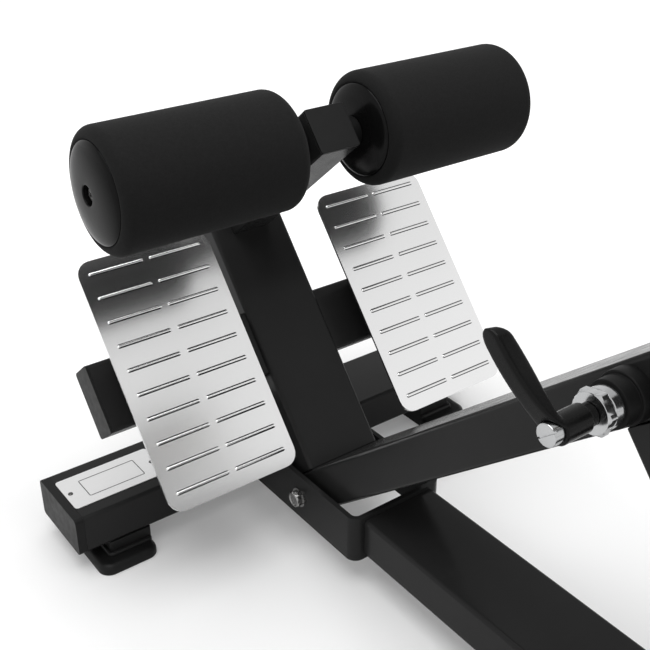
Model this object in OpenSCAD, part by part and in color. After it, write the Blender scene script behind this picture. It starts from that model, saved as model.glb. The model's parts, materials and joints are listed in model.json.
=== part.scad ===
// Hyperextension bench: an inclined telescopic beam with ribbed foot plates, ankle rollers and thigh pads.
// X runs across the bench to the user's right, Y from the foot end to the pad end, and Z is up.
// A place on the beam is given by how far it is along the beam from the post's front face,
// and how far it is above the beam's top face, square to it.

/* [Base frame] */
// Width of the frame's main tubes
tube_w = 100; // [90:1:110]
// Depth of the frame's main tubes
tube_d = 50; // [46:1:54]
// Wall of the frame's main tubes
tube_wall = 3; // [2.5:0.25:4]
// Outer radius along the tubes' edges
tube_edge_r = 5; // [4.5:0.5:7]
// Length of a cross tube with its end caps
cross_len = 610; // [590:5:680]
// Height of the cross tubes' lower face over the floor
cross_z = 30; // [27:1:40]
// Thickness of a cross tube's end cap outside the tube
cross_cap_t = 10.5; // [5:0.5:14]
// Clear distance between the two cross tubes
cross_span = 900; // [870:5:1000]
// Height of the foot bracket's lower edge over the floor
bracket_z = 36.5; // [34:0.5:42]
// Height of the foot bracket's flat bar
bracket_h = 60; // [56:1:66]
// Thickness of the foot bracket's flat bar
bracket_t = 6; // [5:0.5:8]
// Reach of the foot bracket ahead of the rear cross tube
bracket_len = 203; // [195:1:230]
// Outer radius of the foot bracket's two bends
bracket_bend_r = 13; // [9:0.5:20]
// Gap at each side between the beam and the foot bracket
bracket_gap = 9; // [6:0.5:14]
// Distance of the foot bolt ahead of the rear cross tube
foot_bolt_y = 99.2; // [92:0.2:110]
// Shank radius of the foot bolt
foot_bolt_r = 6; // [5:0.5:8]
// Thickness of the plate that closes the main tube's front end
joint_plate_t = 6; // [4:0.5:8]

/* [Floor feet] */
// Width of a foot's floor pad across the bench
foot_w = 74; // [66:1:84]
// Thickness of a foot's floor pad
foot_t = 13; // [11:0.5:17]
// Overhang of the floor pad ahead of and behind its cross tube
foot_overhang = 20; // [14:1:30]
// Radius of the floor pad's corners
foot_corner_r = 15; // [8:1:22]
// Width of the raised block that carries the tube
foot_block_w = 54; // [46:1:60]
// Distance of the foot's outer edge inside the end of the cross tube
foot_inset = 18; // [12:1:30]
// Shank radius of a foot screw
foot_screw_r = 4; // [3:0.5:5]
// Depth at which a foot screw's head sits inside the foot
foot_screw_sink = 4; // [2:0.5:5]

/* [Name plate] */
// Length of the bare name plate
name_plate_len = 120; // [90:1:150]
// Width of the bare name plate
name_plate_w = 60; // [40:1:80]
// Thickness of the bare name plate
name_plate_t = 1; // [0.8:0.1:2]
// Radius of the name plate's corners
name_plate_corner_r = 4; // [2:0.5:8]
// Distance of a rivet from the name plate's end
rivet_inset = 7; // [5:0.5:12]
// Shank radius of a rivet
rivet_r = 1.9; // [1.2:0.1:2]

/* [Beam and post] */
// Rise of the beam over the floor, in degrees
beam_angle = 40.4; // [38:0.1:42]
// Length of the outer beam tube
beam_len = 660; // [650:5:700]
// Height of the post above the beam
post_h = 350; // [340:1:380]
// Thickness of the end plate on the beam's lower end
end_plate_t = 3; // [2:0.5:5]
// Thickness of a plastic plug's head outside its tube
plug_head_t = 3; // [2:0.5:5]
// Depth of a plastic plug inside its tube
plug_depth = 18; // [12:1:25]
// Thickness of a plastic plug's skirt inside its tube
plug_skirt_t = 3; // [2:0.5:4]
// Place of the strut's centre along the beam
strut_at = 523.7; // [500:0.5:540]

/* [Ankle rollers] */
// Side of the square roller arm
arm_side = 50; // [46:1:54]
// Wall of the roller arm
arm_wall = 3; // [2:0.5:4]
// Outer radius along the roller arm's edges
arm_edge_r = 2.5; // [1.5:0.5:4]
// Length of the roller arm with its end plug
arm_len = 238.3; // [236:0.1:260]
// Distance of the axle below the top of the post's tube
axle_drop = 28.5; // [28:0.5:40]
// Distance of the axle ahead of the post
axle_ahead = 208.4; // [190:0.2:210]
// Radius of the axle bar
axle_r = 12.5; // [11:0.5:14]
// Radius of the axle's stepped end
axle_spigot_r = 6; // [5:0.5:8]
// Outer diameter of a foam roller
roller_d = 126.4; // [110:0.4:140]
// Length of a foam roller
roller_len = 207.8; // [180:0.2:220]
// Distance of a foam roller's inner end from the centre plane
roller_in = 51.8; // [46:0.2:60]
// Radius of the foam's rounded shoulders
roller_shoulder_r = 12; // [8:0.5:16]
// Outer radius of the roller's core tube
core_r = 25; // [22:0.5:28]
// Wall of the roller's core tube
core_wall = 3; // [2:0.5:4]
// Radius of a roller's end cap at its rim
cap_r = 51; // [40:0.5:51]
// Thickness of an end cap's rim
cap_rim_t = 3.6; // [3:0.2:5]
// Height of the dome on an end cap
cap_dome_h = 5.8; // [4:0.2:8]
// Depth at which an end cap sits in the foam
cap_seat = 2; // [1:0.5:3]
// Depth of an end cap's hub inside the core tube
cap_hub_len = 21; // [16:1:30]
// Radius of the recess in an outer end cap
cap_hole_r = 10; // [9.5:0.25:12]

/* [Foot plates] */
// Width of a foot plate
plate_w = 162.7; // [150:0.1:170]
// Height of a foot plate
plate_h = 289; // [280:1:300]
// Thickness of a foot plate
plate_t = 3; // [2:0.5:5]
// Radius of a foot plate's corners
plate_corner_r = 17; // [8:1:20]
// Distance of a foot plate's inner edge from the centre plane
plate_in = 78.8; // [70:0.2:90]
// Height of a foot plate's lower edge above the beam
plate_low = 15.2; // [10:0.2:25]
// Distance of a foot plate's front face ahead of the post
plate_face = 36.8; // [30:0.2:45]
// Number of rows of grip ribs
rib_rows = 10; // [6:1:10]
// Distance between rows of grip ribs
rib_pitch = 28.2; // [20:0.2:28.2]
// Height of the lowest rib above the plate's lower edge
rib_first = 20.1; // [14:0.1:24]
// Length of a grip rib
rib_len = 66; // [50:0.5:68]
// Width of a grip rib
rib_w = 5; // [4:0.25:7]
// Height of a grip rib over the plate
rib_h = 1.2; // [0.8:0.1:2]
// Gap between the two ribs of a row
rib_gap = 7.5; // [5:0.5:10]
// Height of a plate arm's tube
plate_arm_h = 80; // [70:1:90]
// Depth of a plate arm's tube
plate_arm_d = 40; // [36:1:44]
// Height of a plate arm's lower face above the beam
plate_arm_low = 123; // [110:1:135]
// Reach of a plate arm from the centre plane, with its plug
plate_arm_reach = 257; // [250:1:275]
// Width of the channel that holds a foot plate
channel_w = 100; // [80:1:120]
// Height of the channel that holds a foot plate
channel_h = 70; // [60:1:80]
// Sheet thickness of the channel
channel_t = 3; // [2:0.5:4]
// Width of the channel's lips behind the plate
channel_lip = 15; // [10:1:20]
// Shank radius of a plate bolt
plate_bolt_r = 4; // [3:0.5:5]
// Distance between a plate's two bolts
plate_bolt_gap = 60; // [50:1:70]

/* [Clamp] */
// Place of the clamp's axis along the beam
clamp_at = 521.6; // [500:0.2:530]
// Radius of the welded boss on the beam's side
boss_r = 22.5; // [20:0.5:24]
// Thickness of the boss
boss_t = 14; // [8:0.5:16]
// Radius of the barrel on the boss
barrel_r = 20; // [17:0.5:20]
// Length of the barrel on the boss
barrel_len = 14; // [8:0.5:18]
// Radius of the bore in the boss
boss_bore_r = 13; // [12:0.5:14]
// Radius of the clamp nut's collar
collar_r = 17; // [15:0.5:18]
// Thickness of the clamp nut's collar
collar_t = 10; // [6:0.5:12]
// Width across flats of the clamp nut's hexagon
clamp_hex_af = 34; // [30:1:38]
// Length of the clamp nut's hexagon
clamp_hex_len = 9; // [7:0.5:12]
// Radius of the clamp pin's body
pin_r = 10; // [8:0.5:11]
// Radius of the pin's tip, which runs in the inner tube's slot
pin_tip_r = 6; // [5:0.5:7]
// Radius of the stud that carries the lever
pin_stud_r = 6; // [5:0.5:7]
// Travel of the clamp pin over a quarter turn
pin_travel = 1; // [0.5:0.1:1.5]
// Radius of the lever's hub
hub_r = 12; // [10:0.5:14]
// Length of the lever's hub
hub_len = 28.5; // [22:0.5:34]
// Length of the lever's neck, towards the nut
neck_len = 7.5; // [4:0.5:12]
// Reach of the lever from the clamp's axis
lever_len = 86; // [70:1:100]
// Width of the lever's arm
lever_w = 17; // [13:0.5:20]
// Greatest thickness of the lever's arm
lever_depth = 17; // [12:0.5:20]
// Lean of the lever's tip outwards from its hub
lever_crank = 22; // [14:0.5:28]
// Radius of the lever screw's head
lever_screw_head_r = 9.5; // [7:0.5:10]
// Height of the lever screw's head
lever_screw_head_h = 10; // [5:0.5:12]

/* [Telescope] */
// Width of the inner tube
inner_w = 88; // [82:1:89]
// Depth of the inner tube
inner_d = 38; // [32:1:39]
// Wall of the inner tube
inner_wall = 3; // [2.5:0.5:4]
// Stretch of the inner tube beyond the pad mast
inner_past_mast = 10.6; // [5:0.2:40]
// Stretch of the inner tube below the clamp's axis
inner_below = 76; // [60:1:120]
// Travel of the pads along the beam
travel = 150; // [100:5:170]
// Length of the plastic guide inside the beam's mouth
guide_len = 44; // [30:1:50]
// Thickness of the guide's collar outside the beam
guide_collar_t = 6; // [3:0.5:10]
// Length of the glide on the inner tube's lower end
glide_len = 24; // [16:1:30]

/* [Pads and handles] */
// Place of the pads' centre along the beam
pad_at = 895; // [890:1:900]
// Width of a thigh pad
pad_w = 153; // [140:1:160]
// Length of a thigh pad
pad_len = 210; // [190:1:240]
// Thickness of a thigh pad at its edge
pad_t = 46; // [35:1:60]
// Height of the pad's crown over its edge
pad_crown = 12; // [4:1:18]
// Gap between the two thigh pads
pad_gap = 64; // [50:1:80]
// Thickness of a pad's plywood board
board_t = 12; // [9:1:18]
// Distance of a board's edge inside its pad
board_inset = 4; // [2:0.5:8]
// Thickness of the plate under the boards
support_t = 6; // [5:0.5:8]
// Width of the plate under the boards
support_w = 290; // [270:2:320]
// Length of the plate under the boards
support_len = 150; // [130:1:170]
// Height of the plate under the boards above the beam
support_above = 104; // [100:1:120]
// Width of the pad mast
mast_w = 60; // [50:1:70]
// Length of the pad mast's section along the beam
mast_l = 80; // [70:1:100]
// Wall of the pad mast
mast_wall = 3; // [2:0.5:4]
// Shank radius of a pad bolt
pad_bolt_r = 4; // [3:0.5:5]
// Distance between a pad's bolts across the bench
pad_bolt_dx = 60; // [40:1:80]
// Distance between a pad's bolts along the beam
pad_bolt_db = 100; // [80:1:110]
// Outer radius of the handle bar
handle_r = 14; // [12:0.5:16]
// Wall of the handle bar
handle_wall = 2; // [1.5:0.25:3]
// Distance from the centre plane to the middle of a grip
handle_reach = 235; // [220:1:260]
// Radius of the handle bar's bends
handle_bend_r = 50; // [35:1:60]
// Height of the handle bar above the beam
handle_above = 58; // [50:1:70]
// Length of a rubber grip
grip_len = 105; // [80:1:120]
// Thickness of the rubber on a grip
grip_t = 3.5; // [2:0.5:5]

/* [Hidden] */
// Clearances
run_fit = 0.05;
slide_gap = 0.2;
seat_gap = 0.3;
hole_gap = 0.3;
plug_gap = 0.1;
over = 1;
// Drawing fineness of round pieces and of a tube's rounded edge
$fn = 72;
edge_steps = 5;
// Least inner radius along a tube's edges
least_inner_r = 0.5;

// Fasteners: head and nut sizes follow from the shank radius
function hex_af(r) = 3.1 * r;
function head_h(r) = 1.3 * r;
function nut_h(r) = 1.7 * r;
function washer_r(r) = 2 * r;
washer_t = 2;
// Thread that stands out of a nut
thread_end = 2;

// Places across the bench
half_w = tube_w / 2;
cross_half = cross_len / 2 - cross_cap_t;
bracket_in = half_w + bracket_gap;
bracket_out = bracket_in + bracket_t;
foot_out = cross_len / 2 - foot_inset;

// Heights
cross_top = cross_z + tube_d;
main_z = bracket_z + (bracket_h - tube_d) / 2;
main_top = main_z + tube_d;
foot_bolt_z = bracket_z + bracket_h / 2;

// The knee is the corner between the beam's top face and the post's front face.
// The foot bolt passes through the middle of the square where the two tubes meet.
knee_y = foot_bolt_y + tube_d / 2 * (cos(beam_angle) - sin(beam_angle));
knee_z = foot_bolt_z + tube_d / 2 * (cos(beam_angle) + sin(beam_angle));
function beam_y(along, above) = knee_y + along * cos(beam_angle) - above * sin(beam_angle);
front_y = cross_span + tube_w;
post_top = post_h + plug_head_t;
y_min = min(-tube_w - foot_overhang, beam_y(-tube_d, post_top));
y_max = front_y + foot_overhang;
mid_y = (y_min + y_max) / 2;

// Beam, telescope and clamp
beam_end = beam_len - tube_d;
beam_mid = -tube_d / 2;
bore_w = tube_w - 2 * tube_wall;
bore_d = tube_d - 2 * tube_wall;
inner_start = clamp_at - inner_below;
inner_end = pad_at + mast_l / 2 + inner_past_mast;
inner_len = inner_end - inner_start;
inner_top = beam_mid + inner_d / 2;
slot_half = pin_tip_r + hole_gap;
strut_len = beam_end * tan(beam_angle);

// Clamp, outwards from the beam's side
nut_step = 0.5;
pin_in_hex = 3;
pin_tip_reach = 3;
stud_short = 2;
stud_hole = 16;
lever_screw_r = 3.8;
lever_screw_len = 12;
// Shape of the lever's arm: bend of its lean, share of its reach where the tip begins, where its
// thickness starts and how far it sweeps, in degrees, and share over which its root narrows
LEVER_CURVE = 0.75;
LEVER_TIP = 0.86;
LEVER_ROOT_ANGLE = 18;
LEVER_SWEEP = 111.6;
LEVER_FLARE = 0.3;
neck_step = 2.5;
chamfer = 1.5;
boss_out = half_w + boss_t + barrel_len;
collar_out = boss_out + collar_t;
hex_in = collar_out + nut_step;
hex_out = hex_in + clamp_hex_len;
pin_face = inner_w / 2 + seat_gap;
pin_shoulder = hex_in + pin_in_hex;
neck_in = hex_out + seat_gap;
hub_in = neck_in + neck_len;
hub_out = hub_in + hub_len;
stud_out = hub_out - stud_short;

// Rollers, outwards from the centre plane
axle_above = post_h - axle_drop;
roller_out = roller_in + roller_len;
cap_in_flat = roller_in + cap_seat;
cap_out_flat = roller_out - cap_seat;
cap_in_apex = cap_in_flat - cap_rim_t - cap_dome_h;
cap_out_apex = cap_out_flat + cap_rim_t + cap_dome_h;
cap_web = 4.7;
axle_shoulder = cap_out_flat - cap_web - 2 * seat_gap;
axle_end = axle_shoulder + cap_web + 2 * seat_gap;
axle_screw_r = 4;
axle_screw_len = 20;
axle_washer_t = 1.6;
axle_head_r = 7.2;
axle_head_h = 3.6;
cap_edge = 0.6;

// Foot plates
plate_mid = plate_in + plate_w / 2;
plate_back = plate_face - plate_t;
plate_arm_front = -(tube_d - plate_arm_d) / 2;
plate_arm_mid = plate_arm_low + plate_arm_h / 2;
plate_arm_end = plate_arm_reach - plug_head_t;
rib_round = (rib_w * rib_w / 4 + rib_h * rib_h) / (2 * rib_h);

// Pads
support_top = support_above + support_t;
board_top = support_top + board_t;
pad_mid = pad_gap / 2 + pad_w / 2;
handle_side = handle_reach - handle_bend_r;
PAD_POINTS = 56;
PAD_SQUARENESS = 5;
PAD_DRAW_IN = 0.03;
// Each level of a pad's side is its inset and its share of the edge's height
PAD_SIDE = [[4, 0], [1.5, 0.1], [0, 0.3], [0, 0.5], [1.2, 0.68], [4.5, 0.84], [10, 0.95], [17, 1]];
PAD_TOP_RINGS = 8;

BLACK = "#26272a";
STEEL = "#b9bcc0";
CHROME = "#d8dadd";
PLASTIC = "#1b1c1e";
FOAM = "#2b2c2e";

// Frames of reference

// Moves the bench so that its origin is the middle of its footprint on the floor
module bench() {
    translate([0, -mid_y, 0]) children();
}

// Draws in the beam's own frame: Y along the beam, Z square to its top face
module on_beam() {
    bench() translate([0, knee_y, knee_z]) rotate([beam_angle, 0, 0]) children();
}

// Mirrors to the left side when side is -1
module at_side(side) {
    mirror([side < 0 ? 1 : 0, 0, 0]) children();
}

// Draws along +X what is drawn along +Z
module along_x() {
    rotate([90, 0, 90]) children();
}

// Shared shapes

// Corner points of a rectangle with rounded corners, centred on the origin
function rounded(w, h, r, steps) = [
    for (corner = [0:3], i = [0:steps])
        let (
            a = 90 * (corner + i / steps),
            cx = (corner == 0 || corner == 3 ? 1 : -1) * (w / 2 - r),
            cy = (corner < 2 ? 1 : -1) * (h / 2 - r)
        )
        [cx + r * cos(a), cy + r * sin(a)]
];

module bar(w, h, r, len) {
    linear_extrude(len) polygon(rounded(w, h, r, edge_steps));
}

// Rectangular tube along +Z
module tube(w, h, wall, r, len) {
    linear_extrude(len) difference() {
        polygon(rounded(w, h, r, edge_steps));
        polygon(rounded(w - 2 * wall, h - 2 * wall, max(r - wall, least_inner_r), edge_steps));
    }
}

// Main frame tube along +Z
module frame_tube(len) {
    tube(tube_w, tube_d, tube_wall, tube_edge_r, len);
}

// Plastic plug whose head starts at Z = 0 and whose skirt reaches down into the tube
module plug(w, h, wall, r, head_t) {
    skirt_w = w - 2 * (wall + plug_gap);
    skirt_h = h - 2 * (wall + plug_gap);
    bar(w, h, r, head_t);
    translate([0, 0, -plug_depth])
        tube(skirt_w, skirt_h, plug_skirt_t, plug_skirt_t + 0.5, plug_depth);
}

module hex(af, len) {
    cylinder(r = af / sqrt(3), h = len, $fn = 6);
}

module ring(r_out, r_in, len) {
    difference() {
        cylinder(r = r_out, h = len);
        translate([0, 0, -over]) cylinder(r = r_in, h = len + 2 * over);
    }
}

// Hexagon bolt along +Z: the head lies below Z = 0
module bolt(r, len) {
    translate([0, 0, -head_h(r)]) hex(hex_af(r), head_h(r));
    cylinder(r = r, h = len);
}

// Screw with a round head and a hexagon socket, along +Z: the head lies below Z = 0
module socket_screw(r, head_r, head_len, len) {
    difference() {
        union() {
            translate([0, 0, -head_len]) cylinder(r1 = head_r - 1, r2 = head_r, h = 1);
            translate([0, 0, 1 - head_len]) cylinder(r = head_r, h = head_len - 1);
            cylinder(r = r, h = len);
        }
        translate([0, 0, -head_len - over]) hex(1.2 * r, head_len / 2 + over);
    }
}

// Base frame

module cross_tube() {
    translate([-cross_half, -half_w, cross_z + tube_d / 2]) along_x() frame_tube(2 * cross_half);
}

// Middle lines of the two screws in a foot, for the cross tube that starts at Y = 0
module at_foot_screws(side) {
    for (dy = [0.25, 0.75])
        at_side(side) translate([foot_out - foot_w + foot_block_w / 2, -dy * tube_w, 0]) children();
}

module drilled_cross_tube() {
    difference() {
        cross_tube();
        for (side = [-1, 1])
            at_foot_screws(side)
                translate([0, 0, cross_z - over])
                    cylinder(r = foot_screw_r + hole_gap, h = tube_wall + 2 * over);
    }
}

module rear_cross_tube() {
    color(BLACK) bench() difference() {
        drilled_cross_tube();
        at_rivets() translate([0, 0, cross_top - tube_wall - over])
            cylinder(r = rivet_r + plug_gap, h = tube_wall + 2 * over);
    }
}

module front_cross_tube() {
    color(BLACK) bench() translate([0, front_y, 0]) drilled_cross_tube();
}

module cross_tube_caps() {
    color(PLASTIC) bench()
        for (y = [0, front_y], side = [-1, 1])
            translate([0, y, 0]) at_side(side)
                translate([cross_half, -half_w, cross_z + tube_d / 2])
                    along_x() plug(tube_w, tube_d, tube_wall, tube_edge_r, cross_cap_t);
}

// Rubber foot: a floor pad and a block under the tube, for the cross tube that starts at Y = 0
module floor_foot(side) {
    pad_y = tube_w + 2 * foot_overhang;
    color(PLASTIC) difference() {
        at_side(side) {
            translate([foot_out - foot_w / 2, -half_w, 0])
                bar(foot_w, pad_y, foot_corner_r, foot_t);
            translate([foot_out - foot_w, -tube_w, foot_t - over])
                cube([foot_block_w, tube_w, cross_z - foot_t + over]);
        }
        at_foot_screws(side) {
            translate([0, 0, -over])
                cylinder(r = washer_r(foot_screw_r) + hole_gap, h = foot_screw_top() + over);
            cylinder(r = foot_screw_r + hole_gap, h = cross_z + over);
        }
    }
}

// Height of the shoulder under a foot screw's head
function foot_screw_top() = foot_screw_sink + head_h(foot_screw_r);

module rear_foot(side) {
    bench() floor_foot(side);
}

module front_foot(side) {
    bench() translate([0, front_y, 0]) floor_foot(side);
}

module foot_screws() {
    color(STEEL) bench()
        for (y = [0, front_y], side = [-1, 1])
            translate([0, y, 0]) at_foot_screws(side)
                translate([0, 0, foot_screw_top()])
                    socket_screw(foot_screw_r, washer_r(foot_screw_r), head_h(foot_screw_r),
                        cross_z + tube_wall + 4 - foot_screw_top());
}

// Middle lines of the name plate's rivets
module at_rivets() {
    for (end = [-1, 1])
        translate([cross_half - name_plate_len / 2 + end * (name_plate_len / 2 - rivet_inset), -half_w, 0])
            children();
}

module name_plate() {
    color(STEEL) bench() difference() {
        translate([cross_half - name_plate_len / 2, -half_w, cross_top])
            bar(name_plate_len, name_plate_w, name_plate_corner_r, name_plate_t);
        at_rivets() translate([0, 0, cross_top - over])
            cylinder(r = rivet_r + plug_gap, h = name_plate_t + 2 * over);
    }
}

module name_plate_rivets() {
    rivet_head_h = 1;
    color(STEEL) bench() at_rivets() {
        translate([0, 0, cross_top + name_plate_t])
            cylinder(r1 = 1.7 * rivet_r, r2 = 1.1 * rivet_r, h = rivet_head_h);
        translate([0, 0, cross_top - tube_wall])
            cylinder(r = rivet_r, h = tube_wall + name_plate_t + rivet_head_h / 2);
    }
}

// Half of the bracket's round bend is a ring sector between its two flat runs
module foot_bracket() {
    bend_in = bracket_bend_r - bracket_t;
    rail_len = bracket_len - bracket_bend_r;
    color(BLACK) bench() translate([0, 0, bracket_z]) difference() {
        union() {
            for (side = [-1, 1]) {
                at_side(side) translate([bracket_in, 0, 0]) cube([bracket_t, rail_len, bracket_h]);
                at_side(side) translate([bracket_out - bracket_bend_r, rail_len, 0])
                    rotate_extrude(angle = 90) translate([bend_in, 0]) square([bracket_t, bracket_h]);
            }
            translate([bracket_bend_r - bracket_out, bracket_len - bracket_t, 0])
                cube([2 * (bracket_out - bracket_bend_r), bracket_t, bracket_h]);
        }
        translate([-bracket_out - over, foot_bolt_y, bracket_h / 2])
            along_x() cylinder(r = foot_bolt_r + hole_gap, h = 2 * (bracket_out + over));
    }
}

module main_tube() {
    color(BLACK) bench() translate([0, bracket_len, main_z + tube_d / 2])
        rotate([-90, 0, 0]) frame_tube(cross_span - joint_plate_t - bracket_len);
}

module joint_plate() {
    color(BLACK) bench() translate([0, cross_span - joint_plate_t, bracket_z + bracket_h / 2])
        rotate([-90, 0, 0]) bar(2 * bracket_out, bracket_h, 4, joint_plate_t);
}

// The strut is square to the beam and cut level on the main tube
module strut() {
    color(BLACK) difference() {
        on_beam() translate([0, strut_at, -tube_d]) mirror([0, 0, 1]) frame_tube(strut_len);
        bench() translate([-tube_w, -cross_span, main_top - 2 * cross_span])
            cube([2 * tube_w, 3 * cross_span, 2 * cross_span]);
    }
}

// Beam and post

module beam_tube() {
    color(BLACK) on_beam() difference() {
        translate([0, -tube_d, beam_mid]) rotate([-90, 0, 0]) frame_tube(beam_len);
        translate([-half_w - over, -tube_d / 2, beam_mid])
            along_x() cylinder(r = sleeve_r() + run_fit, h = 2 * (half_w + over));
        translate([half_w - tube_wall - over, clamp_at, beam_mid])
            along_x() cylinder(r = pin_r + hole_gap, h = tube_wall + 2 * over);
    }
}

module beam_end_plate() {
    color(BLACK) on_beam() translate([0, -tube_d, beam_mid]) rotate([90, 0, 0])
        bar(tube_w, tube_d, tube_edge_r, end_plate_t);
}

module post_tube() {
    color(BLACK) on_beam() translate([0, -tube_d / 2, 0]) frame_tube(post_h);
}

module post_cap() {
    color(PLASTIC) on_beam() translate([0, -tube_d / 2, post_h])
        plug(tube_w, tube_d, tube_wall, tube_edge_r, plug_head_t);
}

// Foot bolt with its sleeve, welded across the beam between the bracket's rails

function sleeve_r() = foot_bolt_r + 4;

module at_foot_bolt(x) {
    on_beam() translate([x, -tube_d / 2, beam_mid]) children();
}

module foot_sleeve() {
    color(STEEL) at_foot_bolt(-bracket_in) along_x()
        ring(sleeve_r(), foot_bolt_r + hole_gap, 2 * bracket_in);
}

module foot_bolt() {
    color(STEEL) at_foot_bolt(bracket_out + washer_t) mirror([1, 0, 0]) along_x()
        bolt(foot_bolt_r, 2 * (bracket_out + washer_t) + nut_h(foot_bolt_r) + thread_end);
}

module foot_bolt_nut() {
    color(STEEL) {
        for (side = [-1, 1])
            at_side(side) at_foot_bolt(bracket_out) along_x()
                ring(washer_r(foot_bolt_r), foot_bolt_r + hole_gap, washer_t);
        at_foot_bolt(-bracket_out - washer_t - nut_h(foot_bolt_r)) along_x() difference() {
            hex(hex_af(foot_bolt_r), nut_h(foot_bolt_r));
            translate([0, 0, -over])
                cylinder(r = foot_bolt_r + run_fit, h = nut_h(foot_bolt_r) + 2 * over);
        }
    }
}

// Roller arm, axle and rollers

module at_axle(x) {
    on_beam() translate([x, axle_ahead, axle_above]) children();
}

module roller_arm() {
    color(BLACK) difference() {
        on_beam() translate([0, 0, axle_above]) rotate([-90, 0, 0])
            tube(arm_side, arm_side, arm_wall, arm_edge_r, arm_len - plug_head_t);
        at_axle(-arm_side) along_x() cylinder(r = axle_r + run_fit, h = 2 * arm_side);
    }
}

module roller_arm_cap() {
    color(PLASTIC) on_beam() translate([0, arm_len - plug_head_t, axle_above]) rotate([-90, 0, 0])
        bar(arm_side, arm_side, arm_edge_r, plug_head_t);
}

module roller_axle() {
    color(CHROME) difference() {
        union() {
            at_axle(-axle_shoulder) along_x() cylinder(r = axle_r, h = 2 * axle_shoulder);
            at_axle(-axle_end) along_x() cylinder(r = axle_spigot_r, h = 2 * axle_end);
        }
        for (side = [-1, 1])
            at_side(side) at_axle(axle_end - axle_screw_len - thread_end) along_x()
                cylinder(r = axle_screw_r + run_fit, h = axle_screw_len + thread_end + over);
    }
}

module axle_collars() {
    color(BLACK) for (side = [-1, 1])
        at_side(side) at_axle(arm_side / 2) along_x()
            ring(axle_r + 5, axle_r + run_fit, cap_in_apex - seat_gap - arm_side / 2);
}

module axle_end_screws() {
    color(STEEL) for (side = [-1, 1]) at_side(side) {
        at_axle(axle_end) along_x()
            ring(cap_hole_r - 2 * seat_gap, axle_screw_r + run_fit, axle_washer_t);
        at_axle(axle_end + axle_washer_t) mirror([1, 0, 0]) along_x()
            socket_screw(axle_screw_r, axle_head_r, axle_head_h, axle_screw_len + axle_washer_t);
    }
}

// Points of a quarter arc between two angles
function arc(cx, cy, r, a0, a1, steps) = [
    for (i = [0:steps]) let (a = a0 + (a1 - a0) * i / steps) [cx + r * cos(a), cy + r * sin(a)]
];

module roller_core(side) {
    color(STEEL) at_side(side) at_axle(cap_in_flat) along_x()
        ring(core_r, core_r - core_wall, cap_out_flat - cap_in_flat);
}

// The foam's profile is given as radius and distance from the centre plane
module roller_foam(side) {
    s = roller_shoulder_r;
    outer = roller_d / 2;
    seat_r = cap_r + slide_gap;
    lip_angle = 4;
    profile = concat(
        [[core_r, cap_in_flat], [seat_r, cap_in_flat], [seat_r, roller_in]],
        arc(outer - s, roller_in + s, s, lip_angle - 90, 0, 8),
        arc(outer - s, roller_out - s, s, 0, 90 - lip_angle, 8),
        [[seat_r, roller_out], [seat_r, cap_out_flat], [core_r, cap_out_flat]]
    );
    color(FOAM) at_side(side) at_axle(0) along_x() rotate_extrude($fn = 96) polygon(profile);
}

// End cap profile: the hub fills the core tube, and the dome rises from the rim to the flat nose
function cap_profile(bore, nose) = concat(
    [[bore, -cap_hub_len], [core_r - core_wall, -cap_hub_len], [core_r - core_wall, 0],
        [cap_r - cap_edge, 0], [cap_r, cap_edge], [cap_r, cap_rim_t - cap_edge],
        [cap_r - cap_edge, cap_rim_t]],
    [for (i = [1:7]) let (t = i / 8)
        [cap_r - cap_edge - (cap_r - nose - 1) * t, cap_rim_t + cap_dome_h * sin(90 * t)]],
    [[nose, cap_rim_t + cap_dome_h], [bore, cap_rim_t + cap_dome_h]]
);

module roller_inner_cap(side) {
    color(PLASTIC) at_side(side) at_axle(cap_in_flat) mirror([1, 0, 0]) along_x()
        rotate_extrude($fn = 96) polygon(cap_profile(axle_r + run_fit, axle_r + 6));
}

module roller_outer_cap(side) {
    color(PLASTIC) at_side(side) difference() {
        at_axle(cap_out_flat) along_x() difference() {
            rotate_extrude($fn = 96) polygon(cap_profile(axle_spigot_r + run_fit, axle_r + 3));
            translate([0, 0, -cap_hub_len - over])
                cylinder(r = axle_r + run_fit, h = cap_hub_len + over - cap_web);
        }
        at_axle(axle_end - seat_gap) along_x()
            cylinder(r = cap_hole_r, h = cap_rim_t + cap_dome_h + 2 * over);
    }
}

// Foot plates

module at_plate(side) {
    at_side(side) on_beam() translate([plate_mid, 0, 0]) children();
}

// Centres of a plate's two bolts, behind the plate arm
module at_plate_bolts(side, along) {
    for (dx = [-1, 1])
        at_plate(side) translate([dx * plate_bolt_gap / 2, along, plate_arm_mid])
            rotate([-90, 0, 0]) children();
}

module plate_arm(side) {
    color(BLACK) difference() {
        at_side(side) on_beam() translate([half_w, plate_arm_front - plate_arm_d / 2, plate_arm_mid])
            along_x() tube(plate_arm_d, plate_arm_h, tube_wall, tube_edge_r - 1, plate_arm_end - half_w);
        at_plate_bolts(side, plate_arm_front - plate_arm_d - over)
            cylinder(r = plate_bolt_r + hole_gap, h = plate_arm_d + 2 * over);
    }
}

module plate_arm_caps() {
    color(PLASTIC) for (side = [-1, 1])
        at_side(side) on_beam() translate([plate_arm_end, plate_arm_front - plate_arm_d / 2, plate_arm_mid])
            along_x() plug(plate_arm_d, plate_arm_h, tube_wall, tube_edge_r - 1, plug_head_t);
}

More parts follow.
